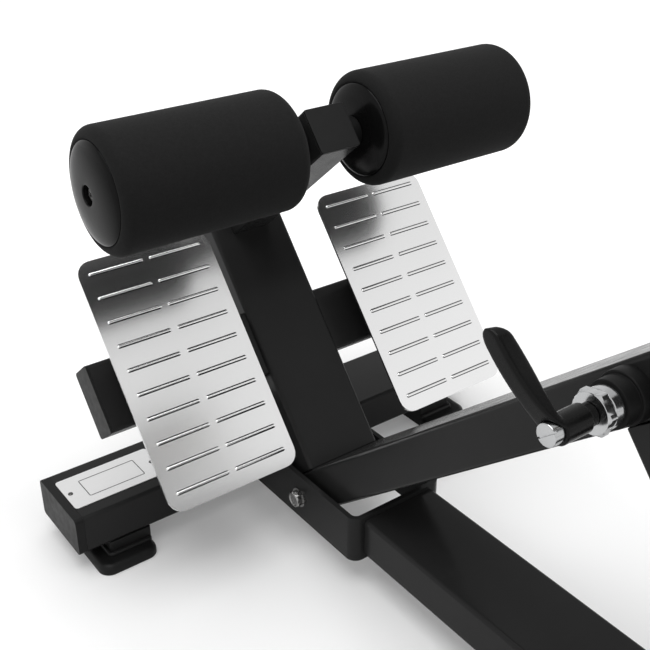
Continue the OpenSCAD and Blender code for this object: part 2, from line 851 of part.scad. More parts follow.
// Channel between the plate arm and the plate: a web on the arm, two flanges and two lips
module plate_bracket(side) {
    depth = plate_back - plate_arm_front;
    color(BLACK) difference() {
        at_plate(side) translate([-channel_w / 2, plate_arm_front, plate_arm_mid - channel_h / 2]) {
            cube([channel_w, channel_t, channel_h]);
            for (x = [0, channel_w - channel_t])
                translate([x, 0, 0]) cube([channel_t, depth, channel_h]);
            for (x = [-channel_lip + channel_t, channel_w - channel_t])
                translate([x, depth - channel_t, 0]) cube([channel_lip, channel_t, channel_h]);
        }
        at_plate_bolts(side, plate_arm_front - over)
            cylinder(r = plate_bolt_r + hole_gap, h = channel_t + 2 * over);
    }
}

// A grip rib is the top of a long round-ended bar that is sunk in the plate
module rib() {
    straight = rib_len / 2 - rib_w / 2;
    profile = concat([[0, -straight - rib_round]], arc(0, -straight, rib_round, -67, 0, 3),
        arc(0, straight, rib_round, 0, 67, 3), [[0, straight + rib_round]]);
    rotate([0, 90, 0]) rotate_extrude($fn = 48) polygon(profile);
}

module foot_plate(side) {
    color(CHROME) at_plate(side) {
        translate([0, plate_back, plate_low + plate_h / 2]) rotate([-90, 0, 0])
            bar(plate_w, plate_h, plate_corner_r, plate_t);
        intersection() {
            for (row = [0:rib_rows - 1], dx = [-1, 1])
                translate([dx * (rib_len + rib_gap) / 2, plate_face + rib_h - rib_round,
                    plate_low + rib_first + row * rib_pitch]) rib();
            translate([-plate_w / 2, plate_face - plate_t / 2, plate_low])
                cube([plate_w, plate_t, plate_h]);
        }
    }
}

// Bolts from behind each plate arm, with a washer under the head and a nut in the channel
module plate_bolts() {
    nut_t = nut_h(plate_bolt_r);
    color(STEEL) for (side = [-1, 1]) {
        at_plate_bolts(side, plate_arm_front - plate_arm_d - washer_t)
            bolt(plate_bolt_r, washer_t + plate_arm_d + channel_t + nut_t + thread_end);
        at_plate_bolts(side, plate_arm_front - plate_arm_d - washer_t)
            ring(washer_r(plate_bolt_r), plate_bolt_r + run_fit, washer_t);
        at_plate_bolts(side, plate_arm_front + channel_t) difference() {
            hex(hex_af(plate_bolt_r), nut_t);
            translate([0, 0, -over]) cylinder(r = plate_bolt_r + run_fit, h = nut_t + 2 * over);
        }
    }
}

// Clamp

module at_clamp(x) {
    on_beam() translate([x, clamp_at, beam_mid]) children();
}

module clamp_boss() {
    color(BLACK) at_clamp(half_w) along_x() difference() {
        union() {
            cylinder(r = boss_r, h = boss_t - chamfer);
            translate([0, 0, boss_t - chamfer])
                cylinder(r1 = boss_r, r2 = boss_r - chamfer, h = chamfer);
            cylinder(r = barrel_r, h = boss_out - half_w);
        }
        translate([0, 0, -over]) cylinder(r = boss_bore_r, h = boss_out - half_w + 2 * over);
    }
}

// Hexagon with a corner on top, its corners turned off at the outer end
module clamp_hex() {
    corner_r = clamp_hex_af / 2 / cos(30);
    intersection() {
        rotate(30) hex(clamp_hex_af, clamp_hex_len);
        cylinder(r1 = corner_r + clamp_hex_len, r2 = corner_r - chamfer, h = clamp_hex_len);
    }
}

// Chromed nut: a spigot in the boss, a round collar and a hexagon
module clamp_nut() {
    color(CHROME) difference() {
        union() {
            at_clamp(half_w) along_x() cylinder(r = boss_bore_r - run_fit, h = boss_out - half_w + over);
            at_clamp(boss_out) along_x() cylinder(r = collar_r, h = collar_t);
            at_clamp(boss_out + over) along_x()
                cylinder(r = boss_bore_r, h = hex_out - boss_out - 2 * over);
            at_clamp(hex_in) along_x() clamp_hex();
        }
        at_clamp(half_w - over) along_x()
            cylinder(r = pin_r + run_fit, h = pin_shoulder + pin_travel + seat_gap - half_w + over);
        at_clamp(half_w) along_x() cylinder(r = pin_stud_r + run_fit, h = hex_out - half_w + over);
    }
}

// Pin that presses on the inner tube's side; its tip runs in the tube's slot and stops the travel
module clamp_pin() {
    color(STEEL) difference() {
        union() {
            at_clamp(pin_face - inner_wall - pin_tip_reach) along_x()
                cylinder(r = pin_tip_r, h = inner_wall + pin_tip_reach + over);
            at_clamp(pin_face) along_x() cylinder(r = pin_r, h = pin_shoulder - pin_face);
            at_clamp(pin_face + over) along_x() cylinder(r = pin_stud_r, h = stud_out - pin_face - over);
        }
        at_clamp(stud_out - stud_hole) along_x()
            cylinder(r = lever_screw_r + run_fit, h = stud_hole + over);
    }
}

// The lever's arm at a share t of its reach: how far its outer face leans out, how it closes at
// the tip, how thick it is, and half its width
function lever_lean(t) = lever_crank * sin(90 * pow(t, LEVER_CURVE));
function lever_tip(t) = sqrt(1 - pow(max(0, t - LEVER_TIP) / (1 - LEVER_TIP), 2));
function lever_deep(t) = lever_depth * sin(LEVER_ROOT_ANGLE + LEVER_SWEEP * t) * lever_tip(t);
function lever_flare(t) = (hub_r - lever_w / 2) * pow(max(0, 1 - t / LEVER_FLARE), 2);
function lever_half(t) = (lever_w / 2 + lever_flare(t)) * lever_tip(t);

// Arm cranked outwards from the hub: its side view and its front view, cut to what they share
module lever_arm() {
    steps = 16;
    outer = [for (i = [0:steps]) let (t = i / steps) [lever_lean(t), lever_len * t]];
    inner = [
        for (i = [steps - 1:-1:0]) let (t = i / steps) [lever_lean(t) - lever_deep(t), lever_len * t]
    ];
    right = [for (i = [0:steps]) let (t = i / steps) [lever_half(t), lever_len * t]];
    left = [for (i = [steps - 1:-1:0]) let (t = i / steps) [-lever_half(t), lever_len * t]];
    intersection() {
        translate([0, hub_r + over, 0]) rotate([90, 0, 0]) linear_extrude(2 * (hub_r + over))
            polygon(concat(outer, inner));
        translate([-lever_depth, 0, 0]) along_x() linear_extrude(lever_depth + lever_crank + over)
            polygon(concat(right, left));
    }
}

module clamp_lever() {
    color(PLASTIC) difference() {
        union() {
            at_clamp(neck_in) along_x() cylinder(r = hub_r - neck_step, h = neck_len + over);
            at_clamp(hub_in) along_x() cylinder(r = hub_r, h = hub_len);
            at_clamp(hub_out) lever_arm();
        }
        at_clamp(neck_in - over) along_x()
            cylinder(r = pin_stud_r + run_fit, h = hub_out - neck_in + 2 * over);
        at_clamp(hub_out) along_x() cylinder(r = lever_screw_head_r + hole_gap, h = lever_crank + over);
    }
}

module lever_screw() {
    slot_depth = 2.5;
    slot_w = 1.6;
    color(CHROME) difference() {
        union() {
            at_clamp(hub_out - lever_screw_len) along_x()
                cylinder(r = lever_screw_r, h = lever_screw_len + over);
            at_clamp(hub_out) along_x()
                cylinder(r = lever_screw_head_r, h = lever_screw_head_h - chamfer);
            at_clamp(hub_out + lever_screw_head_h - chamfer) along_x()
                cylinder(r1 = lever_screw_head_r, r2 = lever_screw_head_r - chamfer, h = chamfer);
        }
        at_clamp(hub_out + lever_screw_head_h - slot_depth)
            translate([0, -lever_screw_head_r - over, -slot_w / 2])
                cube([slot_depth + over, 2 * (lever_screw_head_r + over), slot_w]);
    }
}

// Telescope

module beam_guide() {
    outer_w = bore_w - 2 * plug_gap;
    outer_d = bore_d - 2 * plug_gap;
    hole_w = inner_w + 2 * slide_gap;
    hole_d = inner_d + 2 * slide_gap;
    color(PLASTIC) on_beam() translate([0, beam_end - guide_len, beam_mid]) rotate([-90, 0, 0]) difference() {
        union() {
            bar(outer_w, outer_d, tube_edge_r - tube_wall, guide_len + over);
            translate([0, 0, guide_len]) bar(tube_w, tube_d, tube_edge_r, guide_collar_t);
        }
        translate([0, 0, -over])
            bar(hole_w, hole_d, tube_edge_r - 1, guide_len + guide_collar_t + 2 * over);
    }
}

module inner_tube() {
    color(CHROME) difference() {
        on_beam() translate([0, inner_start, beam_mid]) rotate([-90, 0, 0])
            tube(inner_w, inner_d, inner_wall, tube_edge_r - 1, inner_len);
        at_clamp(inner_w / 2 - inner_wall - over) {
            for (b = [0, travel])
                translate([0, b, 0]) along_x() cylinder(r = slot_half, h = inner_wall + 2 * over);
            translate([0, 0, -slot_half]) cube([inner_wall + 2 * over, travel, 2 * slot_half]);
        }
    }
}

// Glide that closes the inner tube's lower end and slides in the beam
module inner_tube_glide() {
    color(PLASTIC) on_beam() translate([0, inner_start, beam_mid]) rotate([90, 0, 0])
        plug_glide();
}

module plug_glide() {
    skirt_inset = inner_wall + plug_gap;
    bar(bore_w - 2 * slide_gap, bore_d - 2 * slide_gap, tube_edge_r - tube_wall, glide_len);
    translate([0, 0, -plug_depth])
        bar(inner_w - 2 * skirt_inset, inner_d - 2 * skirt_inset, 1, plug_depth + over);
}

module inner_tube_cap() {
    color(PLASTIC) on_beam() translate([0, inner_end, beam_mid]) rotate([-90, 0, 0])
        plug(inner_w, inner_d, inner_wall, tube_edge_r - 1, plug_head_t);
}

// Pads, their boards and what carries them

module pad_mast() {
    color(BLACK) difference() {
        on_beam() translate([0, pad_at, inner_top])
            tube(mast_w, mast_l, mast_wall, tube_edge_r, support_above - inner_top);
        on_beam() translate([-mast_w, pad_at, handle_above])
            along_x() cylinder(r = handle_r + run_fit, h = 2 * mast_w);
    }
}

module at_pad_bolts() {
    for (side = [-1, 1], dx = [-1, 1], db = [-1, 1])
        on_beam() translate([side * pad_mid + dx * pad_bolt_dx / 2, pad_at + db * pad_bolt_db / 2, 0])
            children();
}

module pad_support() {
    color(BLACK) difference() {
        on_beam() translate([0, pad_at, support_above]) bar(support_w, support_len, 12, support_t);
        at_pad_bolts() translate([0, 0, support_above - over])
            cylinder(r = pad_bolt_r + hole_gap, h = support_t + 2 * over);
    }
}

module pad_boards() {
    color("#b08a5a") difference() {
        for (side = [-1, 1])
            on_beam() translate([side * pad_mid, pad_at, support_top])
                bar(pad_w - 2 * board_inset, pad_len - 2 * board_inset, 22, board_t);
        at_pad_bolts() translate([0, 0, support_top - over])
            cylinder(r = pad_bolt_r + hole_gap, h = board_t + 2 * over);
    }
}

module pad_bolts() {
    color(STEEL) at_pad_bolts() translate([0, 0, support_above - washer_t]) {
        ring(washer_r(pad_bolt_r), pad_bolt_r + run_fit, washer_t);
        bolt(pad_bolt_r, washer_t + support_t + board_t - 1);
    }
}

// One point of a pad's outline: a squarish oval whose sides draw in between the corners
function pad_point(w, l, a) =
    let (
        q = PAD_SQUARENESS,
        c = cos(a) / (w / 2),
        s = sin(a) / (l / 2),
        reach = pow(pow(abs(c), q) + pow(abs(s), q), -1 / q),
        x = reach * cos(a),
        y = reach * sin(a),
        pull_x = PAD_DRAW_IN * (1 - pow(2 * y / l, 2)),
        pull_y = PAD_DRAW_IN * (1 - pow(2 * x / w, 2))
    )
    [x * (1 - pull_x), y * (1 - pull_y)];

function pad_ring(inset, z) = [
    for (i = [0:PAD_POINTS - 1])
        let (p = pad_point(pad_w - 2 * inset, pad_len - 2 * inset, 360 * i / PAD_POINTS))
        [p[0], p[1], z]
];

module pad_solid() {
    side_rings = [for (level = PAD_SIDE) pad_ring(level[0], level[1] * pad_t)];
    edge = PAD_SIDE[len(PAD_SIDE) - 1][0];
    room = pad_w / 2 - edge;
    top_rings = [for (k = [1:PAD_TOP_RINGS - 1])
        let (t = k / PAD_TOP_RINGS) pad_ring(edge + room * t, pad_t + pad_crown * sin(90 * t))];
    rings = concat(side_rings, top_rings);
    n = PAD_POINTS;
    last = len(rings) - 1;
    points = concat([for (r = rings, p = r) p], [[0, 0, 0], [0, 0, pad_t + pad_crown]]);
    bottom = len(points) - 2;
    top = len(points) - 1;
    walls = [for (k = [0:last - 1], i = [0:n - 1], half = [0, 1])
        let (a = k * n + i, b = k * n + (i + 1) % n)
        half == 0 ? [a, b + n, b] : [a, a + n, b + n]];
    floor_faces = [for (i = [0:n - 1]) [bottom, i, (i + 1) % n]];
    crown_faces = [for (i = [0:n - 1]) [top, last * n + (i + 1) % n, last * n + i]];
    polyhedron(points = points, faces = concat(walls, floor_faces, crown_faces));
}

module thigh_pad(side) {
    color(BLACK) at_side(side) on_beam() translate([pad_mid, pad_at, board_top]) pad_solid();
}

// Handle bar: a straight run through the mast, two bends and two straight grips along the beam
module handle_path(r) {
    translate([-handle_side, 0, 0]) along_x() cylinder(r = r, h = 2 * handle_side);
    for (side = [-1, 1]) at_side(side) {
        translate([handle_side, handle_bend_r, 0]) rotate([0, 0, -90])
            rotate_extrude(angle = 90) translate([handle_bend_r, 0]) circle(r = r);
        translate([handle_reach, handle_bend_r, 0]) rotate([-90, 0, 0]) cylinder(r = r, h = grip_len);
    }
}

module handle_bar() {
    color(BLACK) on_beam() translate([0, pad_at, handle_above]) difference() {
        handle_path(handle_r);
        for (side = [-1, 1])
            at_side(side) translate([handle_reach, handle_bend_r + over, 0]) rotate([-90, 0, 0])
                cylinder(r = handle_r - handle_wall, h = grip_len);
    }
}

module handle_grips() {
    bore = handle_r + run_fit;
    color(PLASTIC) for (side = [-1, 1])
        at_side(side) on_beam() translate([handle_reach, pad_at + handle_bend_r, handle_above])
            rotate([-90, 0, 0]) difference() {
                union() {
                    cylinder(r = handle_r + grip_t, h = grip_len + grip_t - 2);
                    translate([0, 0, grip_len + grip_t - 2])
                        cylinder(r1 = handle_r + grip_t, r2 = handle_r + grip_t - 2, h = 2);
                }
                translate([0, 0, -over]) cylinder(r = bore, h = grip_len + over);
            }
}

rear_cross_tube();
front_cross_tube();
cross_tube_caps();
rear_foot(1);  // rear_right_foot
rear_foot(-1);  // rear_left_foot
front_foot(1);  // front_right_foot
front_foot(-1);  // front_left_foot
foot_screws();
name_plate();
name_plate_rivets();
foot_bracket();
main_tube();
joint_plate();
strut();
beam_tube();
beam_end_plate();
post_tube();
post_cap();
foot_sleeve();
foot_bolt();
foot_bolt_nut();
roller_arm();
roller_arm_cap();
roller_axle();
axle_collars();
axle_end_screws();
roller_core(1);  // right_roller_core
roller_foam(1);  // right_roller_foam
roller_inner_cap(1);  // right_roller_inner_cap
roller_outer_cap(1);  // right_roller_outer_cap
roller_core(-1);  // left_roller_core
roller_foam(-1);  // left_roller_foam
roller_inner_cap(-1);  // left_roller_inner_cap
roller_outer_cap(-1);  // left_roller_outer_cap
plate_arm(1);  // right_plate_arm
plate_arm(-1);  // left_plate_arm
plate_arm_caps();
plate_bracket(1);  // right_plate_bracket
plate_bracket(-1);  // left_plate_bracket
foot_plate(1);  // right_foot_plate
foot_plate(-1);  // left_foot_plate
plate_bolts();
clamp_boss();
clamp_nut();
clamp_pin();
clamp_lever();
lever_screw();
beam_guide();
inner_tube();
inner_tube_glide();
inner_tube_cap();
pad_mast();
pad_support();
handle_bar();
handle_grips();
pad_boards();
thigh_pad(1);  // right_pad
thigh_pad(-1);  // left_pad
pad_bolts();
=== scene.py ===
import json
import math

import bmesh
import bpy
import numpy as np
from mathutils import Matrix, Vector
from mathutils.bvhtree import BVHTree


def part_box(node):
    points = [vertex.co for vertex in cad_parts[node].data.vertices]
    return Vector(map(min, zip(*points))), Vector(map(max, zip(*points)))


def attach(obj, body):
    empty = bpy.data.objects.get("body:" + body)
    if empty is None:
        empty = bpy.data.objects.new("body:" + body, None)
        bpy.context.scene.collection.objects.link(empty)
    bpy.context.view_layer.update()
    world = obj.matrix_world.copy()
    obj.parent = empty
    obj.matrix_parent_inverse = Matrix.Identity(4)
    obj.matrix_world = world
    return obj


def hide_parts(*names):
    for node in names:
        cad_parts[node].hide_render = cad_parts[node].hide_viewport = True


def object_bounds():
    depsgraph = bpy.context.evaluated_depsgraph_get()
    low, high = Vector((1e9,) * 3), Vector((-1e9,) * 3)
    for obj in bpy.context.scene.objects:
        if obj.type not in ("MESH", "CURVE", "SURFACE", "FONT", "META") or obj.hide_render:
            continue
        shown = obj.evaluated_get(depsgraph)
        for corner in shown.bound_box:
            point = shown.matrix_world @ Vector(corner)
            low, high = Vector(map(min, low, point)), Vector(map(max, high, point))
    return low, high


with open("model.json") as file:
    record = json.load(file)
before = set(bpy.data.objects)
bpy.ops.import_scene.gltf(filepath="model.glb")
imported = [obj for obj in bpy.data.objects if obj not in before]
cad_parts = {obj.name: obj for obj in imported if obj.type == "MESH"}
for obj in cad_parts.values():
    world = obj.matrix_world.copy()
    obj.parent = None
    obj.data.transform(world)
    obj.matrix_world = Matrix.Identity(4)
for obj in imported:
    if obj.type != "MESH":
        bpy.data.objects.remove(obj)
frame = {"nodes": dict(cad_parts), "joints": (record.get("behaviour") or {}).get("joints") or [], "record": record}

CAD_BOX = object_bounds()
NODES = frame["nodes"]
JOINTS = {joint["name"]: joint for joint in frame["joints"]}
SLOT_OF = {part["node"]: part["material_slot"] for part in frame["record"]["subparts"]}

# Directions: across the bench, along the beam, and square to the beam's top face
ACROSS = Vector((1, 0, 0))
ALONG = Vector(JOINTS["pad_slide"]["axis"]).normalized()
ABOVE = ACROSS.cross(ALONG)

# Turn about X that lays the beam's direction along Y, in radians
BEAM_TILT = -math.atan2(ALONG.z, ALONG.y)

# Lengths are in metres
MM = 0.001


def span(node, axis):
    """Lowest and highest place of a CAD node along an axis."""
    places = [axis.dot(v.co) for v in NODES[node].data.vertices]
    return min(places), max(places)


# Mesh helpers

SAME_POINT = 1e-7
HEXAGON_TURNS = 144
EDGE_STEPS = 5
SMOOTH_FACTOR = 0.5

# Shading stays crisp at edges sharper than these angles, in degrees
CAD_CREASE = 35
LATHE_CREASE = 40
FOOT_CREASE = 32
HEX_CREASE = 28


def shade_smooth(piece, smooth=True):
    piece.data.polygons.foreach_set("use_smooth", [smooth] * len(piece.data.polygons))


def add_mesh(name, vertices, faces, smooth=True):
    """A new object from points and faces; doubled points are joined and faces turned outwards."""
    mesh = bpy.data.meshes.new(name)
    work = bmesh.new()
    points = [work.verts.new(v) for v in vertices]
    for face in faces:
        work.faces.new([points[i] for i in face])
    bmesh.ops.remove_doubles(work, verts=work.verts, dist=SAME_POINT)
    bmesh.ops.recalc_face_normals(work, faces=work.faces)
    work.to_mesh(mesh)
    work.free()
    piece = bpy.data.objects.new(name, mesh)
    bpy.context.scene.collection.objects.link(piece)
    shade_smooth(piece, smooth)
    return piece


def ring_faces(rings, points, closed_rings=False):
    """Faces between rings of points; the end rings are joined, or else each gets a cap."""
    last = rings if closed_rings else rings - 1
    faces = []
    for k in range(last):
        a, b = k * points, ((k + 1) % rings) * points
        for i in range(points):
            j = (i + 1) % points
            faces.append([a + i, a + j, b + j, b + i])
    if not closed_rings:
        faces.append(list(range(points)))
        faces.append([last * points + i for i in range(points)])
    return faces


def lathe(name, profile, centre, axis, turns):
    """Turns a closed profile of (place along the axis, radius) round the axis."""
    side = axis.orthogonal().normalized()
    up = axis.cross(side)
    vertices = []
    for i in range(turns):
        angle = 2 * math.pi * i / turns
        out = side * math.cos(angle) + up * math.sin(angle)
        vertices += [centre + axis * place + out * radius for place, radius in profile]
    return add_mesh(name, vertices, ring_faces(turns, len(profile), closed_rings=True))


def turn_hexagon(name, profile, across_flats, corner, centre, axis, closed=True):
    """Turns a profile of (place, radius, six-sided or not); six-sided rings are cut to the hexagon."""
    side = axis.cross(corner)
    vertices = []
    for place, radius, six_sided in profile:
        for i in range(HEXAGON_TURNS):
            angle = 2 * math.pi * i / HEXAGON_TURNS
            flat = across_flats / 2 / math.cos(angle % (math.pi / 3) - math.pi / 6)
            reach = min(radius, flat) if six_sided else radius
            out = corner * math.cos(angle) + side * math.sin(angle)
            vertices.append(centre + axis * place + out * reach)
    return add_mesh(name, vertices, ring_faces(len(profile), HEXAGON_TURNS, closed_rings=closed))


def arc(place, radius, size, start, end, steps):
    """Points of an arc in a lathe profile, with angles in degrees from the axis direction."""
    turns = [math.radians(start + (end - start) * i / steps) for i in range(steps + 1)]
    return [(place + size * math.cos(turn), radius + size * math.sin(turn)) for turn in turns]


def rounded_end(place, radius, size, steps):
    """Points of a rounded outer edge that ends a lathe profile's side at a place."""
    return arc(place - size, radius - size, size, 90, 0, steps)


def apply_modifiers(piece):
    graph = bpy.context.evaluated_depsgraph_get()
    done = bpy.data.meshes.new_from_object(piece.evaluated_get(graph))
    piece.modifiers.clear()
    piece.data = done


def boolean(piece, other, operation):
    """Joins another piece to this one, or cuts it out, and deletes the other piece."""
    cut = piece.modifiers.new("join", "BOOLEAN")
    cut.object = other
    cut.operation = operation
    cut.solver = "EXACT"
    apply_modifiers(piece)
    bpy.data.objects.remove(other)


def add_remesh(piece, voxel):
    remesh = piece.modifiers.new("voxels", "REMESH")
    remesh.mode = "VOXEL"
    remesh.voxel_size = voxel


def add_smooth(piece, rounds):
    smooth = piece.modifiers.new("smooth", "SMOOTH")
    smooth.factor = SMOOTH_FACTOR
    smooth.iterations = rounds


def shade_by_angle(piece, degrees):
    """Keeps edges sharper than the angle crisp and rounds the shading of the rest."""
    split = piece.modifiers.new("crisp_edges", "EDGE_SPLIT")
    split.split_angle = math.radians(degrees)


def dress(piece, body, material, slot, *replaced):
    """Gives a finished piece its material, its body and the CAD nodes that it stands for."""
    piece.data.materials.clear()
    piece.data.materials.append(material)
    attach(piece, body)
    if replaced:
        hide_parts(*replaced)


# Materials

class Paint:
    """A Principled material whose colour, roughness and bump come from noise in the object's space."""

    def __init__(self, name, colour, roughness, metallic=0.0, specular=0.5):
        self.material = bpy.data.materials.new(name)
        self.material.use_nodes = True
        self.tree = self.material.node_tree
        self.shader = self.tree.nodes["Principled BSDF"]
        self.colour = colour
        self.roughness = roughness
        self.shader.inputs["Metallic"].default_value = metallic
        self.shader.inputs["Specular IOR Level"].default_value = specular
        self.place = self.coordinate("Object")
        self.bump = None

    def node(self, kind, links, **values):
        """A new node with its settings, and with each input linked to a socket or set to a number."""
        made = self.tree.nodes.new(kind)
        for name, value in values.items():
            setattr(made, name, value)
        for socket, source in links.items():
            if isinstance(source, bpy.types.NodeSocket):
                self.tree.links.new(source, made.inputs[socket])
            else:
                made.inputs[socket].default_value = source
        return made

    def coordinate(self, output):
        return self.node("ShaderNodeTexCoord", {}).outputs[output]

    def stretched(self, scale, tilt=0.0):
        """The object's space, stretched by a scale for each axis and then turned about X."""
        links = {"Vector": self.place, "Rotation": (tilt, 0, 0), "Scale": scale}
        return self.node("ShaderNodeMapping", links, vector_type="POINT").outputs["Vector"]

    def noise(self, scale, detail, space=None):
        links = {"Vector": space or self.place, "Scale": scale, "Detail": detail}
        return self.node("ShaderNodeTexNoise", links).outputs["Fac"]

    def cells(self, scale, feature="F1"):
        links = {"Vector": self.place, "Scale": scale}
        return self.node("ShaderNodeTexVoronoi", links, feature=feature).outputs["Distance"]

    def maths(self, operation, *sources):
        links = dict(enumerate(sources))
        return self.node("ShaderNodeMath", links, operation=operation).outputs[0]

    def vector_maths(self, operation, output, *sources):
        links = dict(enumerate(sources))
        return self.node("ShaderNodeVectorMath", links, operation=operation).outputs[output]

    def between(self, factor, low, high, start, end):
        """A value that goes from low to high as the factor goes from start to end."""
        links = {"Value": factor, "From Min": start, "From Max": end, "To Min": low, "To Max": high}
        return self.node("ShaderNodeMapRange", links).outputs["Result"]

    def mix(self, factor, low, high):
        made = self.node("ShaderNodeMix", {}, data_type="RGBA")
        self.tree.links.new(factor, made.inputs["Factor"])
        colours = [s for s in made.inputs if s.type == "RGBA"]
        for socket, value in zip(colours, (low, high)):
            if isinstance(value, bpy.types.NodeSocket):
                self.tree.links.new(value, socket)
            else:
                socket.default_value = (*value, 1)
        return next(s for s in made.outputs if s.type == "RGBA")

    def vary_colour(self, factor, spread):
        low, high = ([c * share for c in self.colour] for share in (1 - spread, 1 + spread))
        self.set("Base Color", self.mix(factor, low, high))
        return self

    def vary_roughness(self, factor, spread, start=0.3, end=0.7):
        low, high = self.roughness - spread, self.roughness + spread
        self.set("Roughness", self.between(factor, low, high, start, end))
        return self

    def raise_by(self, height, distance, strength):
        """Adds a bump of this height pattern, over any bump that is there already."""
        links = {"Height": height, "Distance": distance, "Strength": strength}
        if self.bump:
            links["Normal"] = self.bump
        self.bump = self.node("ShaderNodeBump", links).outputs["Normal"]
        self.set("Normal", self.bump)
        return self

    def set(self, socket, source):
        self.tree.links.new(source, self.shader.inputs[socket])


def grey(level, warm=0.0):
    return (level * (1 + warm), level, level * (1 - warm))


def grained(name, colour, roughness, clouds, gloss, grain, **shader):
    """A plain material. Clouds of colour and of gloss are (scale, detail, spread) of their noise,
    and the fine grain of the surface is (scale, detail, distance, strength)."""
    paint = Paint(name, colour, roughness, **shader)
    paint.vary_colour(paint.noise(*clouds[:2]), clouds[2])
    paint.vary_roughness(paint.noise(*gloss[:2]), gloss[2])
    return paint.raise_by(paint.noise(*grain[:2]), *grain[2:]).material


def powder_coat(name, level, roughness):
    return grained(name, grey(level), roughness, clouds=(14, 3, 0.12), gloss=(60, 3, 0.05),
                   grain=(620, 2, 0.08 * MM, 0.35), specular=0.09)


def zinc_steel(name, level):
    return grained(name, grey(level, warm=0.01), roughness=0.24, clouds=(90, 3, 0.08),
                   gloss=(260, 3, 0.07), grain=(1500, 2, 0.03 * MM, 0.3), metallic=1.0)


def plug_plastic():
    return grained("moulded_black_plastic", grey(0.012), roughness=0.4, clouds=(30, 2, 0.12),
                   gloss=(120, 2, 0.05), grain=(1400, 2, 0.05 * MM, 0.3), specular=0.1)


def foot_rubber():
    return grained("black_rubber", grey(0.008), roughness=0.42, clouds=(45, 4, 0.2),
                   gloss=(80, 3, 0.08), grain=(900, 3, 0.1 * MM, 0.4), specular=0.16)


def roller_cap_gloss():
    return grained("glossy_black_plastic", grey(0.004), roughness=0.2, clouds=(35, 2, 0.12),
                   gloss=(150, 3, 0.05), grain=(500, 1, 0.02 * MM, 0.25), specular=0.09)


def lever_cast():
    return grained("cast_black_lever", grey(0.005), roughness=0.26, clouds=(60, 3, 0.15),
                   gloss=(180, 3, 0.06), grain=(1100, 2, 0.06 * MM, 0.3), specular=0.12)


def grip_rubber():
    return grained("grip_rubber", grey(0.012), roughness=0.72, clouds=(70, 3, 0.2),
                   gloss=(160, 3, 0.07), grain=(1300, 2, 0.06 * MM, 0.4), specular=0.28)


def satin_aluminium():
    """Brushed along the plate's length."""
    paint = Paint("satin_aluminium", grey(0.80), roughness=0.34, metallic=0.85)
    lines = paint.noise(scale=1.0, detail=2, space=paint.stretched((30, 1600, 400)))
    paint.vary_colour(lines, spread=0.05)
    paint.vary_roughness(lines, spread=0.06)
    return paint.raise_by(lines, distance=0.02 * MM, strength=0.3).material


def axle_chrome():
    paint = Paint("polished_chrome", grey(0.47, warm=-0.01), roughness=0.2, metallic=1.0)
    paint.vary_colour(paint.noise(scale=40, detail=2), spread=0.04)
    return paint.vary_roughness(paint.noise(scale=200, detail=3), spread=0.04).material


def roller_foam():
    """Foam with fine pores over a softly uneven surface, and a faint sheen."""
    paint = Paint("closed_cell_foam", grey(0.0075), roughness=0.85, specular=0.12)
    paint.shader.inputs["Sheen Weight"].default_value = 0.015
    paint.shader.inputs["Sheen Roughness"].default_value = 0.6
    paint.vary_colour(paint.noise(scale=220, detail=4), spread=0.22)
    paint.vary_roughness(paint.noise(scale=500, detail=3), spread=0.06)
    paint.raise_by(paint.cells(scale=850), distance=0.12 * MM, strength=0.35)
    return paint.raise_by(paint.noise(scale=60, detail=3), distance=0.4 * MM, strength=0.2).material


def brushed_stainless():
    """Satin sheet with a fine grain; painted shade makes the ribs' steep flanks darker than their crowns."""
    paint = Paint("brushed_stainless", grey(0.85), roughness=0.21, metallic=1.0)
    grain = paint.noise(scale=1.0, detail=3, space=paint.stretched((1500, 1500, 14), BEAM_TILT))
    sheet = paint.mix(paint.noise(scale=11, detail=3), grey(0.83), grey(0.87))
    normal = paint.coordinate("Normal")
    steep = paint.maths("ABSOLUTE", paint.vector_maths("DOT_PRODUCT", "Value", normal, ABOVE))
    facing = paint.vector_maths("DOT_PRODUCT", "Value", normal, ALONG)
    # Painted shade: the ribs' steep flanks on the plate's face are darkened to near black
    painted_flank_shade = paint.maths("MULTIPLY", paint.between(steep, low=0, high=1, start=0.32, end=0.5),
                        paint.between(facing, low=0, high=1, start=0.3, end=0.5))
    paint.set("Base Color", paint.mix(painted_flank_shade, sheet, grey(0.03)))
    paint.vary_roughness(grain, spread=0.03)
    return paint.raise_by(grain, distance=0.004 * MM, strength=0.08).material


def plywood():
    """Birch plies in the board's thickness, with the grain running along the board."""
    paint = Paint("birch_plywood", (0.46, 0.38, 0.27), roughness=0.55, specular=0.35)
    board = paint.stretched((1, 1, 1), BEAM_TILT)
    links = {"Vector": board, "Scale": 130.0, "Distortion": 1.2, "Detail": 2.0}
    plies = paint.node("ShaderNodeTexWave", links, wave_type="BANDS", bands_direction="Z")
    grain = paint.noise(scale=1.0, detail=4, space=paint.stretched((160, 12, 60), BEAM_TILT))
    face = paint.mix(grain, low=(0.39, 0.31, 0.21), high=(0.54, 0.44, 0.31))
    edge = paint.between(plies.outputs["Fac"], low=0, high=1, start=0.35, end=0.65)
    paint.set("Base Color", paint.mix(edge, low=face, high=(0.27, 0.20, 0.13)))
    paint.vary_roughness(grain, spread=0.08)
    return paint.raise_by(grain, distance=0.1 * MM, strength=0.4).material


def pad_vinyl():
    """Upholstery vinyl: a fine leather grain over soft creases, shiniest in each cell's middle; painted shade
    makes the creases darker where they sink.
    """
    paint = Paint("grained_vinyl", grey(0.012), roughness=0.44, specular=0.42)
    grain = paint.cells(scale=620, feature="SMOOTH_F1")
    creases = paint.noise(scale=34, detail=4)
    # Painted shade: the colour follows the creases and is darker where they sink
    paint.vary_colour(creases, spread=0.18)
    paint.vary_roughness(grain, spread=0.08, start=0.1, end=0.6)
    paint.raise_by(creases, distance=0.8 * MM, strength=0.18)
    return paint.raise_by(grain, distance=0.3 * MM, strength=0.45).material


